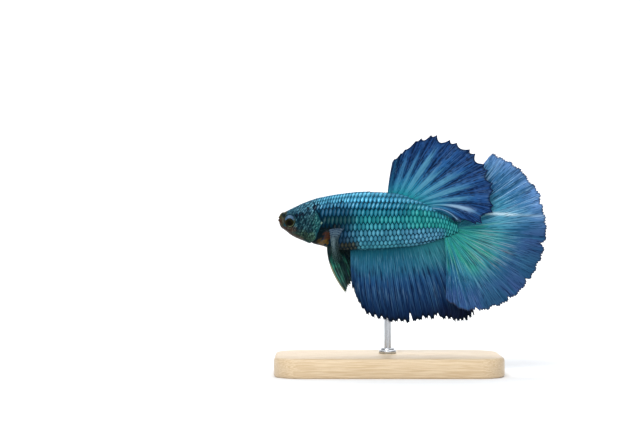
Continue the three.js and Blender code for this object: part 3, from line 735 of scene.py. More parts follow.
def scale_shape(name, along):
    """One scale in its own units: x runs back to its free edge at 0, and y runs from -1 to 1."""
    side = np.array([-1, -0.68, -0.5, -0.32, 0, 0.32, 0.5, 0.68, 1])
    across = len(side) - 1
    share = np.linspace(0, 1, along + 1)
    a, t = np.meshgrid(side, share, indexing="ij")
    rear = -0.5 * ease(0.24, 0.76, np.abs(a)) - 0.02 * a**2
    front = -SCALE_OVERLAP + 0.35 * a**2
    x = front + (rear - front) * t
    rise = SCALE_LIFT * (0.1 + 0.9 * (1 + x / SCALE_OVERLAP)) + 0.045 * (1 - a**2) * t
    top = np.stack([x, a, rise], -1)
    under = top - np.array([0, 0, SCALE_THICKNESS])
    wide = along + 1
    quads = np.roll(grid_quads(across + 1, wide), -1, axis=1).tolist()
    rim = [*range(wide), *[k * wide + along for k in range(1, across + 1)]]
    rim += [across * wide + k for k in range(along - 1, -1, -1)]
    rim += [k * wide for k in range(across - 1, 0, -1)]
    low = top[..., 0].size
    vertices = np.concatenate([top.reshape(-1, 3), under.reshape(-1, 3)[rim]])
    count = len(rim)
    walls = [[rim[k], rim[(k + 1) % count], low + (k + 1) % count, low + k] for k in range(count)]
    mesh = new_mesh(name, vertices, quads + walls + [[low + k for k in range(count)]])
    leaf = np.stack([t, a, x], -1).reshape(-1, 3)
    attribute(mesh, "leaf", "FLOAT_VECTOR", np.concatenate([leaf, leaf[rim]]))
    face_outwards(mesh)
    return bpy.data.objects.new(name, mesh)


def parts_of(tree, vector):
    """The x, y and z of a vector."""
    return node(tree, "ShaderNodeSeparateXYZ", {0: vector}).outputs


def scale_tree():
    """Places a scale at each seat of the unwrapped skin, and lays the scales on the skin's bed."""
    inputs = {
        "Seats": "Geometry",
        "Scale": "Object",
        "Bed": "Object",
        "Unevenness": "Float",
        "Patch": "Float",
        "Finish": "Material",
        "Seed": "Int",
    }
    outputs = {"Scales": "Geometry"}
    tree, given = node_group("Scales laid on a bed", "GeometryNodeTree", inputs, outputs)

    def named(name, kind="FLOAT_VECTOR"):
        made = node(tree, "GeometryNodeInputNamedAttribute", {"Name": name}, data_type=kind)
        return made.outputs["Attribute"]

    def vector(operation, first, second):
        made = node(tree, "ShaderNodeVectorMath", {0: first, 1: second}, operation=operation)
        return made.outputs[0]

    shape = node(tree, "GeometryNodeObjectInfo", {"Object": given["Scale"]}).outputs["Geometry"]
    bed = node(tree, "GeometryNodeObjectInfo", {"Object": given["Bed"]}).outputs["Geometry"]
    least = calc(tree, "SUBTRACT", 1.0, given["Unevenness"])
    # Inputs 2 and 3 are the least and the greatest plain number, and output 1 is the one drawn.
    height = node(tree, "FunctionNodeRandomValue", {2: least, 3: 1.0, "Seed": given["Seed"]})
    sized = node(tree, "ShaderNodeCombineXYZ", {0: 1.0, 1: 1.0, 2: height.outputs[1]}).outputs[0]
    placed = node(
        tree,
        "GeometryNodeInstanceOnPoints",
        {"Points": given["Seats"], "Instance": shape, "Scale": vector("MULTIPLY", named("span"), sized)},
    )
    real = node(tree, "GeometryNodeRealizeInstances", {0: placed.outputs[0]})
    where = node(tree, "GeometryNodeInputPosition").outputs[0]
    parts = parts_of(tree, where)
    shrunk = node(tree, "ShaderNodeMath", {0: parts[0], 1: UNWRAP_LENGTH}, operation="DIVIDE")
    at = node(tree, "ShaderNodeCombineXYZ", {0: shrunk.outputs[0], 1: parts[1]}).outputs[0]

    def on_bed(value):
        inputs = {0: bed, 1: value, 2: named("Unwrap"), 3: at}
        made = node(tree, "GeometryNodeSampleUVSurface", inputs, data_type="FLOAT_VECTOR")
        return made.outputs[0]

    lifted = node(tree, "ShaderNodeVectorMath", {0: on_bed(named("outward"))}, operation="SCALE")
    tree.links.new(parts[2], lifted.inputs["Scale"])
    place = vector("ADD", on_bed(where), lifted.outputs[0])
    laid = node(tree, "GeometryNodeSetPosition", {"Geometry": real.outputs[0], "Position": place})
    patch = node(tree, "ShaderNodeVectorMath", {0: named("leaf")}, operation="SCALE")
    tree.links.new(given["Patch"], patch.inputs["Scale"])
    on_map = vector("ADD", named("seat"), patch.outputs[0])
    mapped = node(
        tree,
        "GeometryNodeStoreNamedAttribute",
        {"Geometry": laid.outputs[0], "Name": "OFBake", "Value": on_map},
        data_type="FLOAT2",
        domain="CORNER",
    )
    worn = node(tree, "GeometryNodeSetMaterial", {0: mapped.outputs[0], "Material": given["Finish"]})
    node(tree, "NodeGroupOutput", {0: worn.outputs[0]})
    return tree


def corner_map(mesh, name, places):
    """A UV map from one place for each vertex."""
    corners = np.empty(len(mesh.loops), np.int32)
    mesh.loops.foreach_get("vertex_index", corners)
    made = mesh.uv_layers.new(name=name)
    made.data.foreach_set("uv", np.asarray(places, np.float32)[corners].ravel())
    return made


def point_cloud(name, points, **values):
    """An object of loose points with named values, such as the seats of a row of scales."""
    mesh = new_mesh(name, points, [])
    for key, value in values.items():
        kind = "FLOAT" if np.ndim(value) == 1 else "FLOAT_VECTOR"
        attribute(mesh, key, "FLOAT_COLOR" if key == "marking" else kind, value)
    made = bpy.data.objects.new(name, mesh)
    bpy.context.scene.collection.objects.link(made)
    return made


def grown(name, seats, scale, bed, material, unevenness=0.25, seed=7):
    """The scales on their seats, as one plain mesh."""
    modifier = seats.modifiers.new("scales", "NODES")
    modifier.node_group = laid_scales
    wanted = {
        "Scale": scale,
        "Bed": bed,
        "Unevenness": unevenness,
        "Patch": PATCH,
        "Finish": material,
        "Seed": seed,
    }
    for socket in laid_scales.interface.items_tree:
        if socket.name in wanted:
            modifier[socket.identifier] = wanted[socket.name]
    evaluated = seats.evaluated_get(bpy.context.evaluated_depsgraph_get())
    mesh = bpy.data.meshes.new_from_object(evaluated)
    mesh.name = name
    seats.modifiers.remove(modifier)
    bpy.data.objects.remove(seats)
    return mesh


def pearly_scale():
    """The look of one scale: a bright cell with a pale stroke, inside a dark net with knots.
    The stroke is a painted highlight, and the net is partly pigment and partly painted shade.
    """
    inputs = {"Marking": "Color", "Net": "Color", "Depth": "Float", "Grain": "Float", "Shine": "Float"}
    outputs = {"Color": "Color", "Bright": "Float", "Height": "Float"}
    tree, given = node_group("Pearly scale", "ShaderNodeTree", inputs, outputs)
    leaf = carried(tree, "leaf", "Vector")
    odd = carried(tree, "odd")
    slant = carried(tree, "slant")
    bold = carried(tree, "bold")
    parts = parts_of(tree, leaf)
    steep = calc(tree, "ABSOLUTE", slant)
    place = row_millimetres(tree)
    speckle = noise(tree, place, 5.0, 2.0, 0.6)
    ragged = noise(tree, place, 2.3, 2.0, 0.6)
    wobble = calc(tree, "MULTIPLY", calc(tree, "SUBTRACT", ragged, 0.5), given["Grain"])
    lean = calc(tree, "MULTIPLY", parts[1], slant)
    back_from = calc(tree, "ADD", parts[2], calc(tree, "SUBTRACT", 0.5, calc(tree, "MULTIPLY", lean, 0.45)))
    aside = calc(tree, "ABSOLUTE", back_from)
    tall = calc(tree, "ABSOLUTE", parts[1])
    # The dark net: partly the scales' pigment and partly painted shade in the gaps between them.
    to_side = calc(tree, "ADD", calc(tree, "SUBTRACT", 0.5, aside), wobble)
    roof = calc(tree, "SUBTRACT", 0.7, calc(tree, "MULTIPLY", aside, 0.76))
    to_roof = calc(tree, "ADD", calc(tree, "SUBTRACT", roof, tall), wobble)
    side_line = ranged(tree, to_side, 0.14, 0.04)
    side_line = calc(tree, "MULTIPLY", side_line, ranged(tree, steep, 0.0, 1.0, 0.8, 0.55))
    roof_line = ranged(tree, to_roof, 0.2, 0.07, 0.0, 0.95)
    past_knot = calc(tree, "SUBTRACT", tall, 0.36)
    knot = node(tree, "ShaderNodeCombineXYZ", {0: to_side, 1: past_knot}).outputs[0]
    knot = node(tree, "ShaderNodeVectorMath", {0: knot}, operation="LENGTH").outputs["Value"]
    net = calc(tree, "MAXIMUM", side_line, calc(tree, "MAXIMUM", roof_line, ranged(tree, knot, 0.26, 0.1)))
    bright = calc(tree, "SUBTRACT", 1.0, net)
    # Painted highlight: a pale slanted stroke across each scale's middle, whitest on the upper rows.
    aim = calc(tree, "MULTIPLY", calc(tree, "SUBTRACT", odd, 0.5), 0.3)
    off = calc(tree, "ADD", back_from, calc(tree, "SUBTRACT", aim, calc(tree, "MULTIPLY", lean, 0.45)))
    slim = ranged(tree, steep, 0.0, 1.0, 0.36, 0.26)
    aslant = calc(tree, "DIVIDE", calc(tree, "ABSOLUTE", off), slim)
    far = calc(tree, "ADD", aslant, calc(tree, "DIVIDE", tall, 0.62))
    stroke = ranged(tree, calc(tree, "ADD", far, calc(tree, "MULTIPLY", wobble, 2.0)), 1.1, 0.4)
    stroke = calc(tree, "MULTIPLY", stroke, ranged(tree, odd, 0.0, 1.0, 0.3, 1.0))
    stroke = calc(tree, "MULTIPLY", stroke, given["Shine"])
    tone = tinted(tree, given["Marking"], 0.84, 0.88, 0.9)
    dim = tinted(tree, tone, 0.62, 0.68, 0.72)
    tone = blended(tree, ranged(tree, odd, 0.5, 0.0, 0.0, 0.8), tone, dim)
    tone = blended(tree, stroke, tone, tinted(tree, tone, 1.6, 1.54, 1.48))
    highlight_whitening = calc(tree, "MULTIPLY", stroke, ranged(tree, steep, 0.0, 1.0, 0.07, 0.17))
    tone = blended(tree, highlight_whitening, tone, colour(206, 232, 240))
    depth = calc(tree, "MULTIPLY", given["Depth"], bold)
    tone = blended(tree, calc(tree, "MULTIPLY", net, depth), tone, given["Net"])
    node(tree, "NodeGroupOutput", {0: tone, 1: bright, 2: calc(tree, "ADD", bright, speckle)})
    return tree


def scale_finish(name, net, depth, grain, shine):
    """A material for scales with a dark net of pigment and painted shade, and a painted highlight."""
    made, tree, shader = finish(name, Coat_Roughness=0.2, **WET)
    marking = carried(tree, "marking", "Color")
    marking = node(tree, "ShaderNodeGroup", {"Marking": marking}, node_tree=dashed).outputs[0]
    inputs = {"Marking": marking, "Net": net, "Depth": depth, "Grain": grain, "Shine": shine}
    group = node(tree, "ShaderNodeGroup", inputs, node_tree=pearly)
    bright = group.outputs["Bright"]
    wire(
        tree,
        shader,
        Base_Color=group.outputs["Color"],
        Metallic=ranged(tree, bright, 0.0, 1.0, 0.0, 0.35),
        Roughness=ranged(tree, bright, 0.0, 1.0, 0.5, 0.36),
        Normal=raised(tree, group.outputs["Height"], 0.00003, 0.5),
    )
    return made


laid_scales = scale_tree()
pearly = pearly_scale()

# The bed is the skin's own surface, carried on over the root of the tail fin and past the belly's
# middle line, so that a scale can reach over either.
BED_END = 47.5
BED_MARGIN = 17
BED_NARROWING = 0.55
bed_x = np.concatenate([skin_x[(skin_x > 1.2) & (skin_x < 44)], np.arange(44, BED_END, 0.2)])
bed_turn = np.arange(-BED_MARGIN, SKIN_AROUND + BED_MARGIN + 1) / SKIN_AROUND
bed_gx, bed_gt = np.meshgrid(bed_x, bed_turn, indexing="ij")
bed_points = smooth_body(bed_gx, bed_gt, under_scales(bed_gx))
bed_points[..., 1] *= 1 - BED_NARROWING * ease(44.3, 47.3, bed_gx)


def open_normals(points):
    """Outward directions over a grid of points that doesn't close up."""
    out = np.cross(np.gradient(points, axis=0), np.gradient(points, axis=1))
    return out / (np.linalg.norm(out, axis=-1, keepdims=True) + 1e-12)


bed_points += open_normals(bed_points) * relief(bed_points[..., 0], bed_points[..., 2])[..., None]
bed_mesh = new_mesh("bed", in_row(bed_points), grid_quads(len(bed_x), len(bed_turn)).tolist())
corner_map(bed_mesh, "Unwrap", np.stack([bed_gx / UNWRAP_LENGTH, bed_gt], -1).reshape(-1, 2))
attribute(bed_mesh, "outward", "FLOAT_VECTOR", (open_normals(bed_points) * MM).reshape(-1, 3))
bed = bpy.data.objects.new("bed", bed_mesh)

# Along the body: how far apart the rows lie, and how far apart the scales in a row.
row_shrink = through(
    (8, 10, 14, 17, 22, 27, 36, 43, 48),
    (0.84, 0.92, 1.07, 1.1, 1.02, 1.0, 0.88, 0.62, 0.44),
)
pitch_at = through(
    (2, 6, 10, 15, 20, 23, 35, 40, 43, 46),
    (0.6, 0.66, 0.82, 0.9, 0.98, SCALE_PITCH, SCALE_PITCH, 0.9, 0.68, 0.5),
)
middle_row = through((0, 10, 38, 42, 46, 48), (MIDDLE_ROW_Z, MIDDLE_ROW_Z, MIDDLE_ROW_Z, -0.3, -1.7, -2.2))
crowding = through((9, 15, 21, 24), (0.66, 0.68, 0.94, 1.0))
shoulder_share = through((9, 15, 22), (1.0, 1.0, 0.0))
ROW_STEP, HALF_TURN_STEPS = 0.05, 240
row_x = np.arange(2, BED_END, ROW_STEP)
half_turns = np.linspace(0, 0.5, HALF_TURN_STEPS + 1)


def round_body(x):
    """How far round the left flank each of half_turns lies from the belly, and its height."""
    section = smooth_body(np.full_like(half_turns, x), half_turns, SCALE_DEPTH)
    steps = np.linalg.norm(np.diff(section, axis=0), axis=1)
    return np.concatenate([[0], np.cumsum(steps)]), section[:, 2]


def body_row(place, x):
    """How far a body row lies above the middle one: the upper rows draw together at the shoulder."""
    return row_shrink(x) * (place - max(place - CROWDED_ABOVE, 0) * (1 - crowding(x)))


def body_pitch(place, x):
    """How far apart a row's scales sit: closer on the upper rows of the shoulder, wider below."""
    closer = 0.22 * ease(3.6, 5.2, place) - 0.16 * ease(-4, -3, place) * (1 - ease(1.9, 3.5, place))
    return pitch_at(x) * (1 - shoulder_share(x) * closer)


EDGE_ROOM = 0.2


def row_seats(places, keep, lie, pitch, shift):
    """Seats in rows, where keep says that one may grow. lie and pitch lay the rows out."""
    seats = []
    for row, place in enumerate(places):
        above = places[row + 1] if row + 1 < len(places) else 2 * place - places[row - 1]
        below = places[row - 1] if row else 2 * place - places[1]
        number = 0.5 * (row % 2) + shift
        row_number = np.concatenate([[0], np.cumsum(ROW_STEP / pitch(place, row_x[:-1]))])
        while number < row_number[-1]:
            x = float(np.interp(number, row_number, row_x))
            number += 1
            round_by, heights = round_body(x)
            start = np.interp(middle_row(x), heights, round_by)
            at = start + lie(place, x)
            if not EDGE_ROOM < at < round_by[-1] - EDGE_ROOM:
                continue
            reach = 0.5 * (lie(above, x) - lie(below, x))
            ends = np.interp([at - reach, at + reach], round_by, half_turns)
            turn = float(np.interp(at, round_by, half_turns))
            z = float(np.interp(at, round_by, heights))
            if keep(x, z, turn):
                seats.append((x, turn, z, 0.5 * (ends[1] - ends[0]), float(pitch(place, x))))
    return np.array(seats)


GILL_TOP = 3.0
FIRST_SCALE, LAST_SCALE = 9.4, 46.1
BREAST_FIN_ROOM, SLIT_ROOM = 3.7, 1.05


def on_flank(x, z, turn):
    """True where a body scale may grow."""
    if x > LAST_SCALE - 0.16 * (z - middle_row(x)) ** 2 or x < FIRST_SCALE:
        return False
    behind = x - gill_edge(z) if GILL_FOOT < z < GILL_TOP else 5.0
    if behind < (BREAST_FIN_ROOM if z < -0.4 else SLIT_ROOM):
        return False
    return np.hypot((x - SHOULDER[0] - 0.2) / 1.6, (z - SHOULDER[1]) / 2.4) > 1


def seat_cloud(name, seats, side, random):
    """The seats of one side as a point cloud in the unwrapped skin."""
    x, turn, z, span, pitch = seats.T
    turn = turn if side == "left" else 1 - turn
    zero = 0 * x
    front = (1 - ease(17, 21, x)) * (1 - ease(2, 5.5, z))
    marking = markings(x - 0.5 * pitch, z)
    dash = dash_strength(x - 0.5 * pitch, z)
    odd = random.random(len(x)) * (1 - 0.6 * front)
    for spot_x, spot_z, reach in DARK_SPOTS:
        away = np.hypot(x - 0.5 * pitch - spot_x, z - spot_z)
        if away.min() < 0.65 and pitch[away.argmin()] < 0.85:
            dark = away < max(reach, away.min() + 0.01)
            marking[dark] = light(2, 14, 34)
            dash[dark] = 0
            odd[dark] = 0
    up = z - middle_row(x)
    slant = np.maximum(ease(1.0, 3.2, up), 0.4 * (1 - ease(12, 18, x)) * ease(-1, 1, z - 10 + x))
    bold = 1 - 0.35 * ease(3.0, 6.2, z) - 0.35 * (1 - ease(-6.8, -5.6, z)) * ease(20, 22, x)
    bold = bold * (1 - 0.3 * ease(30, 37, x) * ease(-2, -0.5, up))
    return point_cloud(
        name,
        np.stack([x, turn, zero], -1),
        span=np.stack([pitch, span, zero + 1], -1),
        seat=np.stack([x / UNWRAP_LENGTH, turn, zero], -1),
        marking=marking,
        odd=odd,
        slant=slant if side == "left" else -slant,
        bold=bold,
        dash=dash,
    )


random = np.random.default_rng(11)
body_scale = scale_shape("body_scale", 4)
# The net's colour is partly pigment and partly painted shade between the scales.
body_scale_finish = scale_finish("Pearly body scales", colour(0, 26, 44), depth=0.96, grain=0.3, shine=1.0)
for side, shift in (("left", 0.0), ("right", 0.5)):
    seats = row_seats(ROW_PLACES, on_flank, body_row, body_pitch, shift)
    cloud = seat_cloud("seats_" + side, seats, side, random)
    mesh = grown("scales_" + side, cloud, body_scale, bed, body_scale_finish)
    put_in_place(mesh, None, "scaled_skin")

# ---- Head scales --------------------------------------------------------------------------------
# The scales of the nape, the cheeks and the gill covers are smaller and lie flatter than those of
# the body. None grow on the lips, the chin or the rims of the eyes.

HEAD_ROW = 0.82
HEAD_SCALE_LIFT = 0.4


def head_row(place, x):
    """How far a row of the head lies above the middle one."""
    return place * head_shrink(x)


def on_head(x, z, turn):
    """True where a head scale may grow."""
    if x < 3.2 + 1.0 * (z < 1.2) or x > (10.4 if z > 2.8 else 9.7):
        return False
    if GILL_FOOT < z < GILL_TOP and x > gill_edge(z) - 0.1:
        return False
    if np.hypot(x - 0.3 - EYE_X, z - EYE_Z) < 2.5:
        return False
    return z > jaw_crease(x) + 0.5 or x > 7.2


head_places = np.arange(-12, 13) * HEAD_ROW
head_shrink = through((2, 6, 12), (0.7, 0.85, 1.0))
# The net's colour is partly pigment and partly painted shade between the scales.
head_finish = scale_finish("Small head scales", colour(2, 20, 32), depth=0.45, grain=0.7, shine=0.75)
head_scale = scale_shape("head_scale", 3)
for side, shift in (("left", 0.25), ("right", 0.75)):
    places = row_seats(head_places, on_head, head_row, lambda place, x: pitch_at(x), shift)
    disorder = np.where(places[:, 2:3] > 2.8, 0.35, 1)
    places[:, :2] += random.normal(0, (0.11, 0.004), (len(places), 2)) * disorder
    cloud = seat_cloud("head_seats_" + side, places, side, random)
    low_lift = np.stack([places[:, 4], places[:, 3], 0 * places[:, 0] + HEAD_SCALE_LIFT], -1)
    cloud.data.attributes["span"].data.foreach_set("vector", low_lift.astype(np.float32).ravel())
    mesh = grown("head_scales_" + side, cloud, head_scale, bed, head_finish)
    put_in_place(mesh, None, "scaled_skin")

for spare in (body_scale, head_scale, bed):
    bpy.data.objects.remove(spare)

# ---- Eyes ---------------------------------------------------------------------------------------
# Large, slightly flattened balls in their sockets. The pupil is black, the iris a dark olive gold
# with a pale blue crescent above that is a painted reflection of the bright surroundings, and a
# thin pale ring runs round it below and behind.

EYE_SIDE = 1.62
EYE_FLATNESS = 0.7
EYE_RINGS, EYE_SECTORS = 36, 64
POLE_GAP = 0.03
LENS_BULGE, LENS_REACH = 0.05, 0.62

# How far from the middle of the eye's face each part of it starts or ends.
PUPIL_EDGE, IRIS_EDGE, RIM_EDGE = (0.7, 0.62), (1.27, 1.06), (1.42, 1.5)
RING_START, RING_END = (1.06, 1.18), (1.38, 1.24)


def eye_ball(name, side):
    """An eyeball whose pole looks sideways, with each point's place on its face as gaze."""
    polar = np.linspace(POLE_GAP, math.pi - POLE_GAP, EYE_RINGS)
    around = np.arange(EYE_SECTORS) / EYE_SECTORS * 2 * math.pi
    p, a = np.meshgrid(polar, around, indexing="ij")
    across = np.sin(p)
    clear = 1 + LENS_BULGE * ridge(p, LENS_REACH)
    x = EYE_X + EYE_RADIUS * EYE_WIDE * across * np.cos(a)
    z = EYE_Z + EYE_RADIUS * EYE_TALL * across * np.sin(a)
    y = side * (EYE_SIDE + EYE_RADIUS * EYE_FLATNESS * clear * np.cos(p))
    mesh = closed_loft(name, in_row(np.stack([x, y, z], -1)))
    spots = np.empty(len(mesh.vertices) * 3)
    mesh.vertices.foreach_get("co", spots)
    spots = (spots.reshape(-1, 3) - FISH_AT) / MM
    along = (spots[:, 0] - EYE_X) / EYE_WIDE
    up = (spots[:, 2] - EYE_Z) / EYE_TALL
    out = side * spots[:, 1] - EYE_SIDE
    attribute(mesh, "gaze", "FLOAT_VECTOR", np.stack([along, up, out], -1))
    return mesh


EYE_GLOSS = {"Specular_IOR_Level": 0.03, "Coat_Weight": 0.03, "Coat_Roughness": 0.04}
eye_finish, tree, shader = finish("Eye", Roughness=0.4, **EYE_GLOSS)
gaze = carried(tree, "gaze", "Vector")
parts = parts_of(tree, gaze)
flat_gaze = node(tree, "ShaderNodeCombineXYZ", {0: parts[0], 1: parts[1]}).outputs[0]
lowered = node(tree, "ShaderNodeVectorMath", {0: flat_gaze, 1: (0.12, 0.42, 0)}, operation="ADD").outputs[0]
fleck = noise(tree, gaze, 3.0, 3.0, 0.6)
round_pupil = node(tree, "ShaderNodeVectorMath", {0: flat_gaze}, operation="NORMALIZE")
fibre = noise(tree, round_pupil.outputs[0], 9.0)
shift = ranged(tree, fleck, 0.2, 0.8, -0.05, 0.05)


def from_middle(vector):
    """How far each place lies from the middle of the eye's face, a little unsteadily."""
    length = node(tree, "ShaderNodeVectorMath", {0: vector}, operation="LENGTH").outputs["Value"]
    return calc(tree, "ADD", length, shift)


away, away_low = from_middle(flat_gaze), from_middle(lowered)
rim = blended(tree, ranged(tree, fleck, 0.35, 0.65), colour(28, 50, 50), colour(40, 62, 58))
rim = blended(tree, ranged(tree, parts[0], -0.5, -1.1, 0.0, 0.8), rim, colour(58, 46, 26))
# A painted reflection of the bright surroundings: a pale blue crescent over the upper part of the eye.
sky_reflection = blended(tree, ranged(tree, fibre, 0.3, 0.7), colour(54, 80, 104), colour(86, 116, 142))
tone = blended(tree, ranged(tree, parts[1], 0.1, 0.5), rim, sky_reflection)
iris = blended(tree, ranged(tree, fibre, 0.35, 0.65), colour(8, 16, 4), colour(30, 26, 2))
tone = blended(tree, ranged(tree, away_low, *IRIS_EDGE), tone, iris)
ring = calc(tree, "MULTIPLY", ranged(tree, away, *RING_START), ranged(tree, away, *RING_END))
lower = ranged(tree, calc(tree, "SUBTRACT", parts[0], parts[1]), 0.2, 1.0)
tone = blended(tree, calc(tree, "MULTIPLY", ring, lower), tone, colour(94, 104, 82))
tone = blended(tree, ranged(tree, away, *RIM_EDGE), tone, colour(8, 22, 30))
tone = blended(tree, ranged(tree, away_low, *PUPIL_EDGE), tone, colour(3, 3, 1))
wire(tree, shader, Base_Color=tone, Normal=raised(tree, fibre, 0.00001, 0.3))
put_in_place(eye_ball("eyeball_left", -1), eye_finish, "eye", "eye_left")
put_in_place(eye_ball("eyeball_right", 1), eye_finish, "eye", "eye_right")

# ---- Dorsal fin ---------------------------------------------------------------------------------
# A tall fan behind the middle of the back. Each bony ray forks once and ends in a pair of dark
# points, with the web cut away in a deep scallop on either side of the pair.

DORSAL_RAYS = 11
DORSAL_FORK = 0.17


def forked(u, v, count, forks):
    """How far each place lies from the nearest branch of a ray, as a share of the rays' spacing."""
    off = np.abs(u * count - np.round(u * count))
    for start, end, spread in forks:
        off = np.abs(off - spread * ease(start, end, v))
    return off


def wave(turns, u, start=0.0):
    """A wave of so many turns across the fin."""
    return np.sin(2 * math.pi * (turns * u + start))


def uneven(number, seed, low=0.6, high=1.4):
    """A steady random factor for each whole number."""
    table = np.random.default_rng(seed).uniform(low, high, 400)
    return table[np.asarray(number, int) % 400]


def cloudy(u, v, across, along, seed):
    """A steady cloudy value from 0 to 1, with so many cells across the rays and along them."""
    table = np.random.default_rng(seed).random((across + 2, along + 2))
    i, j = (u * across).astype(int), (v * along).astype(int)
    s, t = ease(0, 1, u * across - i), ease(0, 1, v * along - j)
    near = table[i, j] + (table[i + 1, j] - table[i, j]) * s
    far = table[i, j + 1] + (table[i + 1, j + 1] - table[i, j + 1]) * s
    return near + (far - near) * t


def scallops(u, count, spread, between, within, seed):
    """How far the web is cut back from the tips of forked rays, in millimetres."""
    c = u * count - np.round(u * count)
    off = np.abs(c)
    inner = within * (1 - (off / spread) ** 2)
    outer = between * (1 - ((0.5 - off) / (0.5 - spread)) ** 2)
    gap = np.floor(u * count)
    return np.where(off < spread, inner, outer * uneven(gap, seed))


def fin_sheet(name, rays, columns, rows, count, forks, cut, sway, web, bone, width, look):
    """A thin closed fin over a fan of key rays, thicker along each branch of its bony rays."""
    keys = np.asarray(rays, float)
    knots = np.linspace(0, 1, len(keys))
    u = np.linspace(0, 1, columns + 1)
    root, bend, tip = [
        np.stack([through(knots, keys[:, part, k])(u) for k in (0, 1)], -1)[:, None] for part in range(3)
    ]
    long = np.linalg.norm(tip - root, axis=-1)
    reach = 1 - cut(u)[:, None] / long
    u, share = np.meshgrid(u, np.linspace(0, 1, rows + 1), indexing="ij")
    v = share * reach
    flat = root * ((1 - v) ** 2)[..., None] + bend * (2 * v * (1 - v))[..., None] + tip * (v**2)[..., None]
    sheet = np.stack([flat[..., 0], sway(u, v), flat[..., 1]], -1)
    across, along = np.gradient(sheet, axis=0), np.gradient(sheet, axis=1)
    normal = np.cross(across, along)
    normal /= np.linalg.norm(normal, axis=-1, keepdims=True) + 1e-12
    spacing = np.linalg.norm(across, axis=-1) * columns / count
    off = forked(u, v, count, forks)
    ray = ridge(off * spacing, width)
    edge = (reach - v) * long
    half = (web + bone * (1 - 0.6 * v) * ray) * (0.45 + 0.55 * ease(0, 0.5, edge))
    sides = [sheet + side * normal * half[..., None] for side in (1, -1)]
    vertices = np.concatenate([side.reshape(-1, 3) for side in sides])
    wide, total = rows + 1, (rows + 1) * (columns + 1)
    front = grid_quads(columns + 1, wide)
    back = front[:, ::-1] + total
    i, j = np.arange(columns) * wide, np.arange(rows)
    foot = np.stack([i, i + total, i + total + wide, i + wide], -1)
    rim = np.stack([i + rows, i + wide + rows, i + total + wide + rows, i + total + rows], -1)
    first = np.stack([j, j + 1, j + 1 + total, j + total], -1)
    last_ray = columns * wide
    last = np.stack([last_ray + j, last_ray + j + total, last_ray + j + 1 + total, last_ray + j + 1], -1)
    faces = np.concatenate([front, back, foot, rim, first, last])
    mesh = new_mesh(name, in_row(vertices), faces.tolist())
    cell = np.abs(u * count - np.round(u * count))
    marking, ink, strokes, hairs = look(u, v, cell, off, spacing, edge, flat[..., 0], flat[..., 1])
    wear = np.stack([strokes + 0 * u, hairs + 0 * u, 0 * u], -1)
    for key, values in (("marking", marking), ("ink", ink), ("wear", wear)):
        attribute(mesh, key, "FLOAT_COLOR", np.tile(values.reshape(-1, 3), (2, 1)))
    attribute(mesh, "ray", "FLOAT", np.tile(ray.ravel(), 2))
    corner_map(mesh, "Unwrap", np.tile(np.stack([u, v], -1).reshape(-1, 2), (2, 1)))
    return mesh


def fin_web():
    """The look of a fin: its markings, inked rays, and fine dark strokes and pale hairs along it."""
    inputs = {"Streaks": "Float", "Breaks": "Float"}
    outputs = {"Color": "Color", "Height": "Float", "Ray": "Float"}
    tree, given = node_group("Fin web", "ShaderNodeTree", inputs, outputs)
    marking = carried(tree, "marking", "Color")
    ink = carried(tree, "ink", "Color")
    ray = carried(tree, "ray")
    wear = carried(tree, "wear", "Vector")
    wear = parts_of(tree, wear)
    unwrap = node(tree, "ShaderNodeUVMap", uv_map="Unwrap").outputs[0]
    parts = parts_of(tree, unwrap)
    fine = calc(tree, "MULTIPLY", parts[0], given["Streaks"])
    along = node(tree, "ShaderNodeCombineXYZ", {0: fine, 1: calc(tree, "MULTIPLY", parts[1], 4.0)})
    streak = noise(tree, along.outputs[0], 1.0, 2.0, 0.6)
    breaks = calc(tree, "MULTIPLY", parts[1], given["Breaks"])
    across = node(tree, "ShaderNodeCombineXYZ", {0: calc(tree, "MULTIPLY", fine, 0.5), 1: breaks})
    broken = noise(tree, across.outputs[0], 1.0, 2.0, 0.5)
    inked = calc(tree, "MULTIPLY", ray, ranged(tree, broken, 0.36, 0.54, 0.2, 1.0))
    tone = blended(tree, inked, marking, ink)
    dark = calc(tree, "MULTIPLY", ranged(tree, streak, 0.53, 0.62), ranged(tree, broken, 0.4, 0.5))
    pale = calc(tree, "MULTIPLY", ranged(tree, streak, 0.46, 0.38), ranged(tree, broken, 0.62, 0.46))
    tone = blended(tree, calc(tree, "MULTIPLY", dark, wear[0]), tone, colour(4, 16, 46))
    lit = tinted(tree, tone, 2.0, 1.7, 1.6)
    lit = blended(tree, 0.3, lit, colour(150, 186, 204))
    tone = blended(tree, calc(tree, "MULTIPLY", pale, wear[1]), tone, lit)
    node(tree, "NodeGroupOutput", {0: tone, 1: calc(tree, "ADD", ray, streak), 2: ray})
    return tree


fin_look = fin_web()


def fin_finish(name, streaks, breaks):
    """A satin web over bony rays, with its own fineness of streaks."""
    made, tree, shader = finish(name, **WET)
    group = node(tree, "ShaderNodeGroup", {"Streaks": streaks, "Breaks": breaks}, node_tree=fin_look)
    dull = ranged(tree, group.outputs["Ray"], 0.0, 1.0, 0.5, 0.36)
    bumped = raised(tree, group.outputs["Height"], 0.00005, 0.5)
    wire(tree, shader, Base_Color=group.outputs["Color"], Roughness=dull, Normal=bumped)
    return made, tree, shader, group


# How pale the middle of each web is, from the front of the fin to its back.
PALE_WEBS = np.array([0.1, 0.3, 0.5, 0.75, 0.85, 0.8, 0.8, 0.7, 1.0, 0.4, 0.1, 0.1])
PALEST_WEB = PALE_WEBS.argmax()


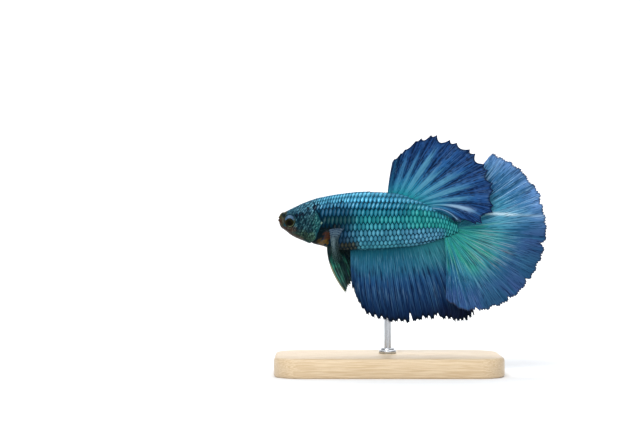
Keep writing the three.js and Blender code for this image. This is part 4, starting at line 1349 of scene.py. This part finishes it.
def dorsal_look(u, v, cell, off, spacing, edge, x, z):
    """Teal at the root, pale bands in the webs, and deep blue with broken dark lines beyond them."""
    tone = shade_of(
        v,
        (0, 28, 132, 138),
        (0.2, 38, 122, 148),
        (0.4, 36, 96, 139),
        (0.65, 34, 82, 132),
        (0.85, 32, 70, 122),
        (1, 30, 62, 110),
    )
    web = np.floor(u * DORSAL_RAYS).astype(int)
    reach_out = 0.7 + 0.3 * (cloudy(u, 0 * v, 44, 1, 51) - 0.5)
    band = 1 - ease(0.2 - 0.06 * v, 0.3 - 0.06 * v, np.abs(cell - 0.5))
    pale = PALE_WEBS[web] * band * ease(0.06, 0.24, v) * (1 - ease(reach_out - 0.22, reach_out + 0.06, v))
    pale = pale * (0.7 + 0.5 * cloudy(u, v, 120, 5, 52))
    tone = painted(tone, (80, 138, 162), np.clip(0.85 * pale, 0, 1))
    tone = painted(tone, (12, 62, 92), 0.75 * (1 - ease(0.04, 0.16, u)) * ease(0.05, 0.3, v))
    rear = (web == PALEST_WEB) * ridge(cell - 0.5, 0.24) * ease(0.25, 0.48, v) * (1 - ease(0.62, 0.84, v))
    tone = painted(tone, (138, 162, 190), 0.75 * rear)
    navy = (1 - ease(0.16, 0.4, cell)) * ease(0.35, 0.6, v) * (0.5 + 0.5 * cloudy(u, v, 33, 4, 53))
    tone = painted(tone, (18, 42, 96), 0.5 * navy)
    broken = ease(0.3, 0.42, cloudy(u, v, 90, 22, 54))
    sides = ridge((np.abs(cell - 0.5) - 0.27) * spacing, 0.09)
    sides = sides * ease(0.05, 0.12, v) * (1 - ease(0.6, 0.8, v))
    tone = painted(tone, (6, 36, 76), 0.8 * sides * (0.3 + 0.7 * broken))
    for place, start in ((0.1, 0.34), (0.2, 0.44), (0.3, 0.3), (0.4, 0.5)):
        line = ridge((cell - place * ease(start, start + 0.3, v)) * spacing, 0.085)
        line = line * ease(start, start + 0.1, v)
        tone = painted(tone, (3, 8, 36), 0.9 * line * broken * (1 - ease(0.2, 0.45, pale)))
    tone = painted(tone, (16, 74, 98), ease(0.915, 0.95, u))
    tone = painted(tone, (8, 16, 40), 0.85 * (1 - ease(0.1, 0.7, edge)))
    ink = shade_of(
        v,
        (0, 14, 92, 110),
        (0.3, 8, 44, 84),
        (0.6, 4, 14, 50),
        (1, 4, 8, 30),
    )
    last = ridge(u * DORSAL_RAYS - DORSAL_RAYS + 1, 0.15)
    tone, ink = [painted(kind, (140, 182, 212), last) for kind in (tone, ink)]
    strokes = 0.8 * ease(0.2, 0.5, v) * (1 - 0.7 * np.clip(pale, 0, 1)) * (1 - rear) * (1 - last)
    return tone, ink, strokes, 0.25 * (1 - last)


DORSAL = (
    ((27.8, 6.3), (28.2, 10.8), (29.2, 15.3)),
    ((28.7, 6.3), (29.8, 11.1), (31.8, 17.6)),
    ((30.0, 6.0), (32.5, 12.0), (35.9, 20.7)),
    ((31.2, 5.8), (34.9, 13.0), (39.8, 21.9)),
    ((32.4, 5.4), (37.9, 12.1), (44.8, 20.2)),
    ((33.5, 4.9), (40.8, 10.6), (49.7, 17.6)),
    ((34.4, 4.5), (43.1, 8.8), (53.2, 13.6)),
    ((35.2, 4.1), (44.9, 6.7), (54.9, 8.5)),
    ((36.0, 3.7), (46.0, 5.4), (54.9, 2.8)),
    ((36.8, 3.2), (44.6, 5.0), (51.2, -1.1)),
    ((37.2, 2.9), (42.6, 3.9), (46.0, -0.4)),
    ((39.0, 2.2), (42.6, 2.2), (45.2, -0.9)),
)
dorsal_mesh = fin_sheet(
    "dorsal",
    DORSAL,
    columns=528,
    rows=72,
    count=DORSAL_RAYS,
    forks=((0.25, 1.0, DORSAL_FORK), (0.45, 1.0, 0.05)),
    cut=lambda u: scallops(u, DORSAL_RAYS, DORSAL_FORK, between=1.5, within=0.7, seed=3)
    * (0.5 + 0.5 * ease(0.2, 0.34, u)),
    sway=lambda u, v: -2.6 * v**0.9 * ease(0.25, 1, u) + 0.42 * v * wave(DORSAL_RAYS, u, 0.25),
    web=0.06,
    bone=0.1,
    width=0.14,
    look=dorsal_look,
)
dorsal_web = fin_finish("Dorsal web", streaks=140.0, breaks=16.0)[0]
put_in_place(dorsal_mesh, dorsal_web, "dorsal_fin", "dorsal_fin")

# ---- Tail fin -----------------------------------------------------------------------------------
# A half disc of twelve rays that each fork three times, so that nearly a hundred fine branches
# reach the margin. It grows from the end of the tail stalk, under the last scales.

TAIL_RAYS = 12
TAIL_BRANCHES = 8
TAIL_FORKS = ((0.02, 0.3, 0.25), (0.2, 0.6, 0.125), (0.5, 0.9, 0.0625))
TAIL_CENTRE = (45.2, -2.8)
TAIL_TOP, TAIL_FOOT, TAIL_KEYS = 68, -98, 34
tail_reach = through(
    (-98, -80, -55, -20, 7, 12.5, 23, 30, 37, 45, 54, 58, 62, 64.5, 67, 69),
    (18, 21, 22.5, 23.2, 23.8, 23.5, 24, 23.8, 23.4, 23.5, 22.7, 22.6, 23.2, 21.6, 19, 17),
)


def tail_ray(degrees):
    """Root, bend and tip of the tail ray that rises at this angle."""
    turn, long = math.radians(degrees), float(tail_reach(degrees))
    tip = (TAIL_CENTRE[0] + long * math.cos(turn), TAIL_CENTRE[1] + long * math.sin(turn))
    root = (42.6 + 2.1 * math.cos(turn), -2.3 + 1.5 * math.sin(turn))
    return root, (0.5 * (root[0] + tip[0]) + 0.5, 0.5 * (root[1] + tip[1])), tip


def tail_cut(u):
    """Shallow scallops between the rays, small points at their branches and a few torn notches."""
    off = forked(u, 1.0, TAIL_RAYS, TAIL_FORKS) * 2 * TAIL_BRANCHES
    branch = np.floor(u * TAIL_RAYS * TAIL_BRANCHES)
    points = 0.3 * off**1.5 * uneven(branch, seed=6, low=0.3, high=1.7)
    cut = scallops(u, TAIL_RAYS, spread=0.25, between=0.55, within=0.3, seed=5) + points
    for place, depth in ((0.3, 0.5), (0.46, 0.7), (0.615, 0.8), (0.72, 0.6), (0.86, 0.8)):
        cut = cut + depth * ridge(u - place, 0.006)
    return cut


def tail_look(u, v, cell, off, spacing, edge, x, z):
    """Green-teal over the inner half, steel blue outside it, and fine pale and dark lines.
    A white painted highlight runs along a fold of the fin.
    """
    tone = shade_of(
        v,
        (0, 30, 128, 124),
        (0.14, 40, 138, 136),
        (0.3, 48, 140, 140),
        (0.46, 54, 132, 142),
        (0.58, 44, 104, 130),
        (0.72, 38, 84, 118),
        (1, 40, 72, 106),
    )
    upper = shade_of(
        v,
        (0, 24, 100, 112),
        (0.35, 50, 124, 154),
        (0.5, 62, 136, 164),
        (0.75, 56, 108, 152),
        (0.95, 90, 130, 182),
    )
    tone = painted(tone, upper, 1 - ease(0.34, 0.44, u))
    tone = painted(tone, (28, 66, 114), 0.85 * (1 - ease(0.1, 0.24, u)) * (1 - ease(0.62, 0.8, v)))
    tone = painted(tone, (92, 152, 176), 0.4 * oval(u, v, (0.33, 0.6), (0.05, 0.2), 0.6))
    tone = painted(tone, (32, 92, 134), 0.8 * ease(0.8, 0.93, u) * ease(0.12, 0.3, v))
    tone = painted(tone, (26, 60, 104), 0.6 * ease(0.84, 0.96, u) * ease(0.45, 0.7, v))
    violet = ease(0.35, 0.75, cloudy(u, v, 9, 2, 65)) * ease(0.6, 0.8, v) * ease(0.36, 0.46, u)
    tone = painted(tone, (56, 76, 128), 0.6 * violet)
    blotch = ease(0.5, 0.85, cloudy(u, v, 64, 3, 61))
    tone = painted(tone, (14, 66, 98), 0.5 * blotch * ease(0.2, 0.6, v))
    green = ease(0.5, 0.8, cloudy(u, v, 40, 4, 62)) * (1 - ease(0.4, 0.62, v)) * ease(0.3, 0.4, u)
    tone = painted(tone, (34, 140, 104), 0.5 * green)
    branch = np.round(u * TAIL_RAYS * TAIL_BRANCHES - 0.5)
    level = 1 + ease(0.02, 0.3, v) + ease(0.2, 0.6, v) + ease(0.5, 0.9, v)
    between = ease(0.5, 1.0, off * 2**level) * uneven(branch, 21, -0.4, 1.0).clip(0, 1)
    tone = painted(tone, (10, 56, 86), 0.45 * between)
    thread = ease(0.66, 0.8, cloudy(u, v, 260, 3, 63))
    tone = painted(tone, (150, 154, 164), 0.55 * thread * oval(u, v, (0.57, 0.42), (0.16, 0.22), 0.5))
    thread = ease(0.62, 0.76, cloudy(u, v, 150, 3, 64)) * (1 - ease(0.42, 0.7, v))
    tone = painted(tone, (8, 70, 72), 0.65 * thread * ease(0.38, 0.5, u))
    # Painted highlight: a white streak along a fold of the fin, laid on the web and on its rays alike.
    streak = ridge((z - 1.6 + 0.05 * (x - 56)) / 0.36, 1)
    streak = streak * ease(51.8, 54.5, x) * (1 - 0.75 * ease(58.5, 62, x))
    tone = painted(tone, (186, 214, 226), 0.85 * streak)
    tone = painted(tone, (40, 38, 50), 0.85 * (1 - ease(0.12, 0.5, edge)))
    pale_ink = shade_of(
        v,
        (0, 50, 140, 134),
        (0.4, 104, 160, 160),
        (0.75, 60, 110, 142),
        (1, 42, 86, 122),
    )
    pale_ink = painted(pale_ink, (128, 168, 206), 0.9 * (1 - ease(0.3, 0.42, u)) * ease(0.4, 0.6, v))
    dark_ink = shade_of(v, (0, 8, 80, 84), (0.5, 12, 74, 98), (1, 14, 48, 82))
    kind = uneven(branch, 22, 0, 1)
    ink = painted(tone, pale_ink, 0.85 * ease(0.6, 0.9, kind))
    ink = painted(ink, dark_ink, 0.9 * (1 - ease(0.14, 0.36, kind)))
    # The same painted highlight over the rays.
    ink = painted(ink, (186, 214, 226), 0.85 * streak)
    ink = painted(ink, (40, 38, 50), 1 - ease(0.15, 0.5, edge))
    lobe = (1 - ease(0.28, 0.42, u)) * ease(0.45, 0.65, v)
    hairs = 0.5 * (1 - ease(0.6, 0.95, v)) + 0.7 * lobe + 0.3 * ease(0.75, 0.9, u) * ease(0.4, 0.6, v)
    return tone, ink, 0.75 - 0.1 * lobe, hairs


tail_mesh = fin_sheet(
    "tail",
    [tail_ray(degrees) for degrees in np.linspace(TAIL_TOP, TAIL_FOOT, TAIL_KEYS)],
    columns=640,
    rows=66,
    count=TAIL_RAYS,
    forks=TAIL_FORKS,
    cut=tail_cut,
    sway=lambda u, v: v**0.8 * (1.5 - 3.1 * ease(0.1, 0.9, u))
    + 0.5 * v * wave(5, u, 0.2) * (1 - ease(0.85, 1, u)),
    web=0.06,
    bone=0.09,
    width=0.15,
    look=tail_look,
)
tail_web = fin_finish("Tail web", streaks=270.0, breaks=10.0)[0]
put_in_place(tail_mesh, tail_web, "caudal_fin", "caudal_fin")

# ---- Anal fin -----------------------------------------------------------------------------------
# The long curtain under the body. Its rays lie side by side like the ribs of a fan, pale along
# their middles with dark webs between, and its foot is nearly black and raggedly cut.

ANAL_RAYS = 24
ANAL_FORK = 0.2
ANAL = (
    ((18.4, -7.0), (18.3, -12.5), (18.9, -17.6)),
    ((20.9, -6.9), (20.0, -15.5), (22.1, -23.8)),
    ((25.0, -6.6), (24.9, -16.0), (27.2, -26.2)),
    ((29.3, -6.2), (30.4, -15.5), (32.2, -26.8)),
    ((33.0, -5.6), (35.4, -15.6), (37.6, -26.0)),
    ((36.3, -4.9), (40.2, -14.6), (42.9, -26.0)),
    ((39.8, -4.1), (45.0, -13.6), (46.9, -26.6)),
    ((43.0, -3.2), (47.4, -12.0), (50.6, -25.4)),
)
ANAL_NOTCHES = ((34.1, 2.0, 0.35), (41.3, 1.5, 0.4))
anal_foot = through(np.linspace(0, 1, len(ANAL)), [tip[0] for _, _, tip in ANAL])


def anal_cut(u):
    """Pointed tips at the forked rays, a ragged web between them, and two deeper notches."""
    ragged = 0.7 * cloudy(u, 0 * u, 31, 1, 74) * (u > 0.02)
    cut = scallops(u, ANAL_RAYS, ANAL_FORK, between=0.85, within=0.3, seed=9) + ragged
    for place, depth, width in ANAL_NOTCHES:
        cut = cut + depth * ridge(anal_foot(u) - place, width)
    return cut


def anal_look(u, v, cell, off, spacing, edge, x, z):
    """Dark teal at the root, dark gaps between pale-edged ribs below it, and a black foot."""
    tone = shade_of(
        v,
        (0, 10, 64, 76),
        (0.14, 16, 74, 94),
        (0.3, 26, 82, 110),
        (0.45, 26, 70, 110),
        (0.6, 18, 50, 92),
        (0.85, 12, 34, 70),
        (1, 14, 24, 50),
    )
    tone = painted(tone, (40, 110, 118), 0.75 * ease(0.45, 0.85, u) * (1 - ease(0.2, 0.45, v)))
    specks = ease(0.55, 0.75, cloudy(u, v, 110, 70, 73)) * (1 - ease(0.02, 0.07, v))
    tone = painted(tone, (80, 140, 158), 0.6 * specks)
    rib = np.floor(u * ANAL_RAYS)
    from_gap = (0.5 - cell) * spacing
    start = 0.24 + 0.1 * uneven(rib, 31, 0, 1)
    deep = ease(start, start + 0.16, v) * (1 - ease(0.8, 0.96, v)) * ease(0.02, 0.1, u)
    wide = (0.14 + 0.12 * uneven(rib, 32, 0, 1)) * (0.4 + 0.6 * deep)
    gap = ridge(from_gap, wide) * deep * (0.55 + 0.45 * ease(0.2, 0.6, cloudy(u, v, 48, 12, 72)))
    pale = ridge(from_gap - wide - 0.16, 0.1) * ease(0.08, 0.25, v) * (1 - ease(0.8, 0.95, v))
    tone = painted(tone, (86, 140, 166), 0.5 * pale * uneven(rib, 33, 0.3, 1))
    tone = painted(tone, (2, 14, 52), 0.92 * gap)
    tone = painted(tone, (20, 18, 40), 0.7 * ease(0.5, 0.75, u) * ease(0.72, 0.92, v))
    tone = painted(tone, (5, 7, 16), 0.9 * (1 - ease(0.2, 1.3, edge)))
    ink = shade_of(
        v,
        (0, 20, 88, 100),
        (0.3, 64, 124, 146),
        (0.6, 74, 122, 156),
        (0.8, 40, 74, 112),
        (1, 6, 9, 20),
    )
    ink = painted(tone, ink, 0.5 * uneven(rib, 34, 0.2, 1))
    return tone, ink, 0.6 * ease(0.06, 0.2, v), 0.35 * ease(0.05, 0.2, v) * (1 - ease(0.6, 0.9, v))


anal_mesh = fin_sheet(
    "anal",
    ANAL,
    columns=576,
    rows=72,
    count=ANAL_RAYS,
    forks=((0.35, 1.0, ANAL_FORK),),
    cut=anal_cut,
    sway=lambda u, v: 2.4 * v**0.7 * ease(0.5, 1, u) + 0.4 * v * wave(7, u)
    + 0.16 * ease(0.1, 0.5, v) * wave(ANAL_RAYS, u, 0.25),
    web=0.06,
    bone=0.09,
    width=0.15,
    look=anal_look,
)
anal_web = fin_finish("Anal web", streaks=95.0, breaks=5.0)[0]
put_in_place(anal_mesh, anal_web, "anal_fin", "anal_fin")

# ---- Breast fins --------------------------------------------------------------------------------
# The clear, grey-blue fins behind the gills that the fish hovers with. Each is a soft fan on a
# fleshy root, and the right one is held further out than the left.

PECTORAL_RAYS = 9


def pectoral_look(u, v, cell, off, spacing, edge, x, z):
    """Grey-blue and clear, with cross bands at the root."""
    tone = shade_of(
        v,
        (0, 52, 72, 90),
        (0.2, 66, 88, 102),
        (0.35, 84, 106, 110),
        (0.6, 48, 66, 72),
        (1, 28, 46, 40),
    )
    sheen = ridge(u - 0.3, 0.16) * ease(0.25, 0.4, v) * (1 - ease(0.55, 0.75, v))
    tone = painted(tone, (120, 138, 142), 0.7 * sheen)
    tone = painted(tone, (14, 26, 24), 0.7 * ease(0.45, 0.75, u) * ease(0.2, 0.4, v))
    ink = shade_of(v, (0, 96, 116, 132), (0.5, 92, 114, 118), (1, 40, 60, 52))
    ink = painted(ink, (30, 44, 40), 0.7 * ease(0.45, 0.75, u) * ease(0.2, 0.4, v))
    bands = ease(0.35, 0.65, 0.5 + 0.5 * np.sin(2 * math.pi * (v * 13 + 0.5 * np.sin(math.pi * u))))
    bands = bands * (1 - ease(0.26, 0.4, v))
    tone, ink = [painted(kind, (12, 28, 56), 0.75 * bands) for kind in (tone, ink)]
    return tone, ink, 0.3 * ease(0.2, 0.4, v), 0.2


def paired_fin(name, rays, count, columns, rows, sway, look, fork=0.2):
    """A breast or belly fin: a small fan of soft rays that each fork once."""
    return fin_sheet(
        name,
        rays,
        columns,
        rows,
        count,
        forks=((0.3, 1.0, fork),),
        cut=lambda u: scallops(u, count, fork, between=0.35, within=0.2, seed=13),
        sway=sway,
        web=0.05,
        bone=0.08,
        width=0.11,
        look=look,
    )


PECTORAL_LEFT = (
    ((12.9, -2.3), (13.6, -5.1), (13.8, -10.6)),
    ((14.8, -2.1), (13.8, -5.2), (15.0, -11.6)),
    ((16.7, -2.1), (13.6, -5.7), (16.4, -9.6)),
)
PECTORAL_RIGHT = (
    ((13.1, -1.6), (14.6, -4.6), (16.9, -7.4)),
    ((13.8, -2.3), (15.0, -5.8), (16.6, -9.8)),
    ((14.2, -3.2), (14.2, -6.4), (14.6, -9.9)),
)
clear_web, tree, shader, group = fin_finish("Clear web", streaks=60.0, breaks=9.0)
unwrap = node(tree, "ShaderNodeUVMap", uv_map="Unwrap").outputs[0]
parts = parts_of(tree, unwrap)
thick = ranged(tree, group.outputs["Ray"], 0.0, 1.0, 0.5, 0.85)
thick = calc(tree, "MAXIMUM", thick, ranged(tree, parts[1], 0.36, 0.2, 0.0, 0.9))
thick = calc(tree, "MULTIPLY", thick, ranged(tree, parts[1], 1.0, 0.72, 0.6, 1.0))
wire(tree, shader, Alpha=thick)
for name, rays, sway in (
    ("pectoral_left", PECTORAL_LEFT, lambda u, v: -3.95 - 1.4 * v**0.8 + 0.2 * v * wave(2.5, u)),
    ("pectoral_right", PECTORAL_RIGHT, lambda u, v: 3.2 + 3.4 * v**0.8 + 0.2 * v * wave(2.5, u)),
):
    mesh = paired_fin(name, rays, PECTORAL_RAYS, columns=162, rows=36, sway=sway, look=pectoral_look)
    put_in_place(mesh, clear_web, "pectoral_fin", name.replace("pectoral", "pectoral_fin"))

# ---- Belly fins ---------------------------------------------------------------------------------
# Two narrow blades under the throat, each of a few strong rays. They are nearly black, with green
# glints and a pale olive front edge.

VENTRAL_RAYS = 5


def ventral_look(u, v, cell, off, spacing, edge, x, z):
    """Black-green, with turquoise glints on the rays and a pale front edge."""
    tone = shade_of(
        v, (0, 22, 32, 24), (0.3, 8, 22, 16), (0.7, 6, 24, 18), (1, 8, 18, 16)
    )
    glints = oval(u, v, (0.38, 0.56), (0.3, 0.22), 0.7) * ease(0.25, 0.6, cloudy(u, v, 16, 5, 81))
    tone = painted(tone, (44, 136, 110), 0.85 * glints)
    tone = painted(tone, (30, 30, 14), 0.6 * ease(0.8, 0.95, v))
    tone = painted(tone, (150, 146, 110), 0.9 * (1 - ease(0.05, 0.12, u)) * ease(0.36, 0.5, v))
    ink = painted(tone, (100, 146, 134), 0.45 * ease(0.35, 0.5, v) * (1 - ease(0.5, 0.8, u)))
    return tone, ink, 0.8, 0.3


VENTRAL_LEFT = (
    ((12.4, -5.8), (12.0, -12.2), (17.3, -18.7)),
    ((13.3, -5.9), (14.9, -12.0), (17.6, -17.4)),
    ((14.4, -6.0), (17.6, -11.4), (18.0, -15.4)),
)
VENTRAL_RIGHT = (
    ((12.9, -5.8), (14.0, -12.0), (18.3, -17.2)),
    ((14.2, -6.0), (17.0, -11.0), (18.9, -15.4)),
    ((17.9, -6.9), (20.2, -9.6), (19.2, -13.4)),
)
blade_web = fin_finish("Blade web", streaks=40.0, breaks=10.0)[0]
for name, rays, sway in (
    ("ventral_left", VENTRAL_LEFT, lambda u, v: -1.3 - 1.5 * v + 0.22 * v * wave(2, u)),
    ("ventral_right", VENTRAL_RIGHT, lambda u, v: 1.3 + 1.9 * v + 0.22 * v * wave(2, u)),
):
    mesh = paired_fin(name, rays, VENTRAL_RAYS, columns=120, rows=60, sway=sway, look=ventral_look)
    put_in_place(mesh, blade_web, "ventral_fin", name.replace("ventral", "ventral_fin"))

# ---- Floor, light and camera --------------------------------------------------------------------
# A sweep of matt white paper that curves up behind the fish, with four soft studio lamps round it.
# The camera is level with the fish and looks straight at its left side.

SWEEP_WIDTH, SWEEP_FRONT, SWEEP_DEPTH, SWEEP_RISE = 2.4, -1.2, 0.55, 1.2
SWEEP_BEND, SWEEP_BEND_STEPS = 0.3, 24
sweep_path = [(SWEEP_FRONT, 0.0)]
sweep_path += [
    (SWEEP_DEPTH + SWEEP_BEND * math.sin(t), SWEEP_BEND * (1 - math.cos(t)))
    for t in np.radians(np.linspace(0, 90, SWEEP_BEND_STEPS))
]
sweep_path += [(SWEEP_DEPTH + SWEEP_BEND, SWEEP_RISE)]
sweep_points = [(x, y, z) for x in (-SWEEP_WIDTH / 2, SWEEP_WIDTH / 2) for y, z in sweep_path]
sweep_mesh = new_mesh("sweep", sweep_points, grid_quads(2, len(sweep_path)).tolist())
sweep_mesh.shade_smooth()
sweep_finish, tree, shader = finish("Matt white paper", Roughness=0.9, Specular_IOR_Level=0.2)
fleece = noise(tree, row_millimetres(tree), 0.8, 3.0)
wire(tree, shader, Base_Color=blended(tree, fleece, colour(240, 241, 242), colour(244, 244, 244)))
sweep_mesh.materials.append(sweep_finish)
sweep = bpy.data.objects.new("sweep", sweep_mesh)
bpy.context.scene.collection.objects.link(sweep)
sweep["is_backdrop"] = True


def soft_lamp(name, at, aim, size, watts):
    """A square lamp that shines from at towards aim."""
    lamp = bpy.data.lights.new(name, "AREA")
    lamp.size = size
    lamp.energy = watts
    made = bpy.data.objects.new(name, lamp)
    made.location = at
    made.rotation_euler = (Vector(aim) - Vector(at)).to_track_quat("-Z", "Y").to_euler()
    bpy.context.scene.collection.objects.link(made)


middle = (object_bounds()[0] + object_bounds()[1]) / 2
soft_lamp("lamp_above", (-0.15, -0.42, 0.42), middle, size=0.35, watts=2.6)
soft_lamp("lamp_front", (0.25, -0.6, 0.2), middle, size=0.6, watts=0.9)
soft_lamp("lamp_behind", (0.2, 0.35, 0.5), middle, size=0.4, watts=0.5)
soft_lamp("lamp_sweep", (0, 0.22, 0.55), (0, SWEEP_DEPTH + SWEEP_BEND, 0.12), size=0.5, watts=4.5)

world = bpy.data.worlds.new("studio")
world.use_nodes = True
world.node_tree.nodes["Background"].inputs[0].default_value = colour(244, 248, 255)
world.node_tree.nodes["Background"].inputs[1].default_value = 0.4
bpy.context.scene.world = world
bpy.context.scene.view_settings.view_transform = "Standard"

CAMERA_AT = (-0.0174, -0.455, 0.041)
camera = bpy.data.objects.new("camera", bpy.data.cameras.new("camera"))
camera.data.lens = 100.0
camera.data.sensor_width = 36.0
camera.location = CAMERA_AT
camera.rotation_euler = (math.radians(90), 0, 0)
bpy.context.scene.collection.objects.link(camera)
bpy.context.scene.camera = camera
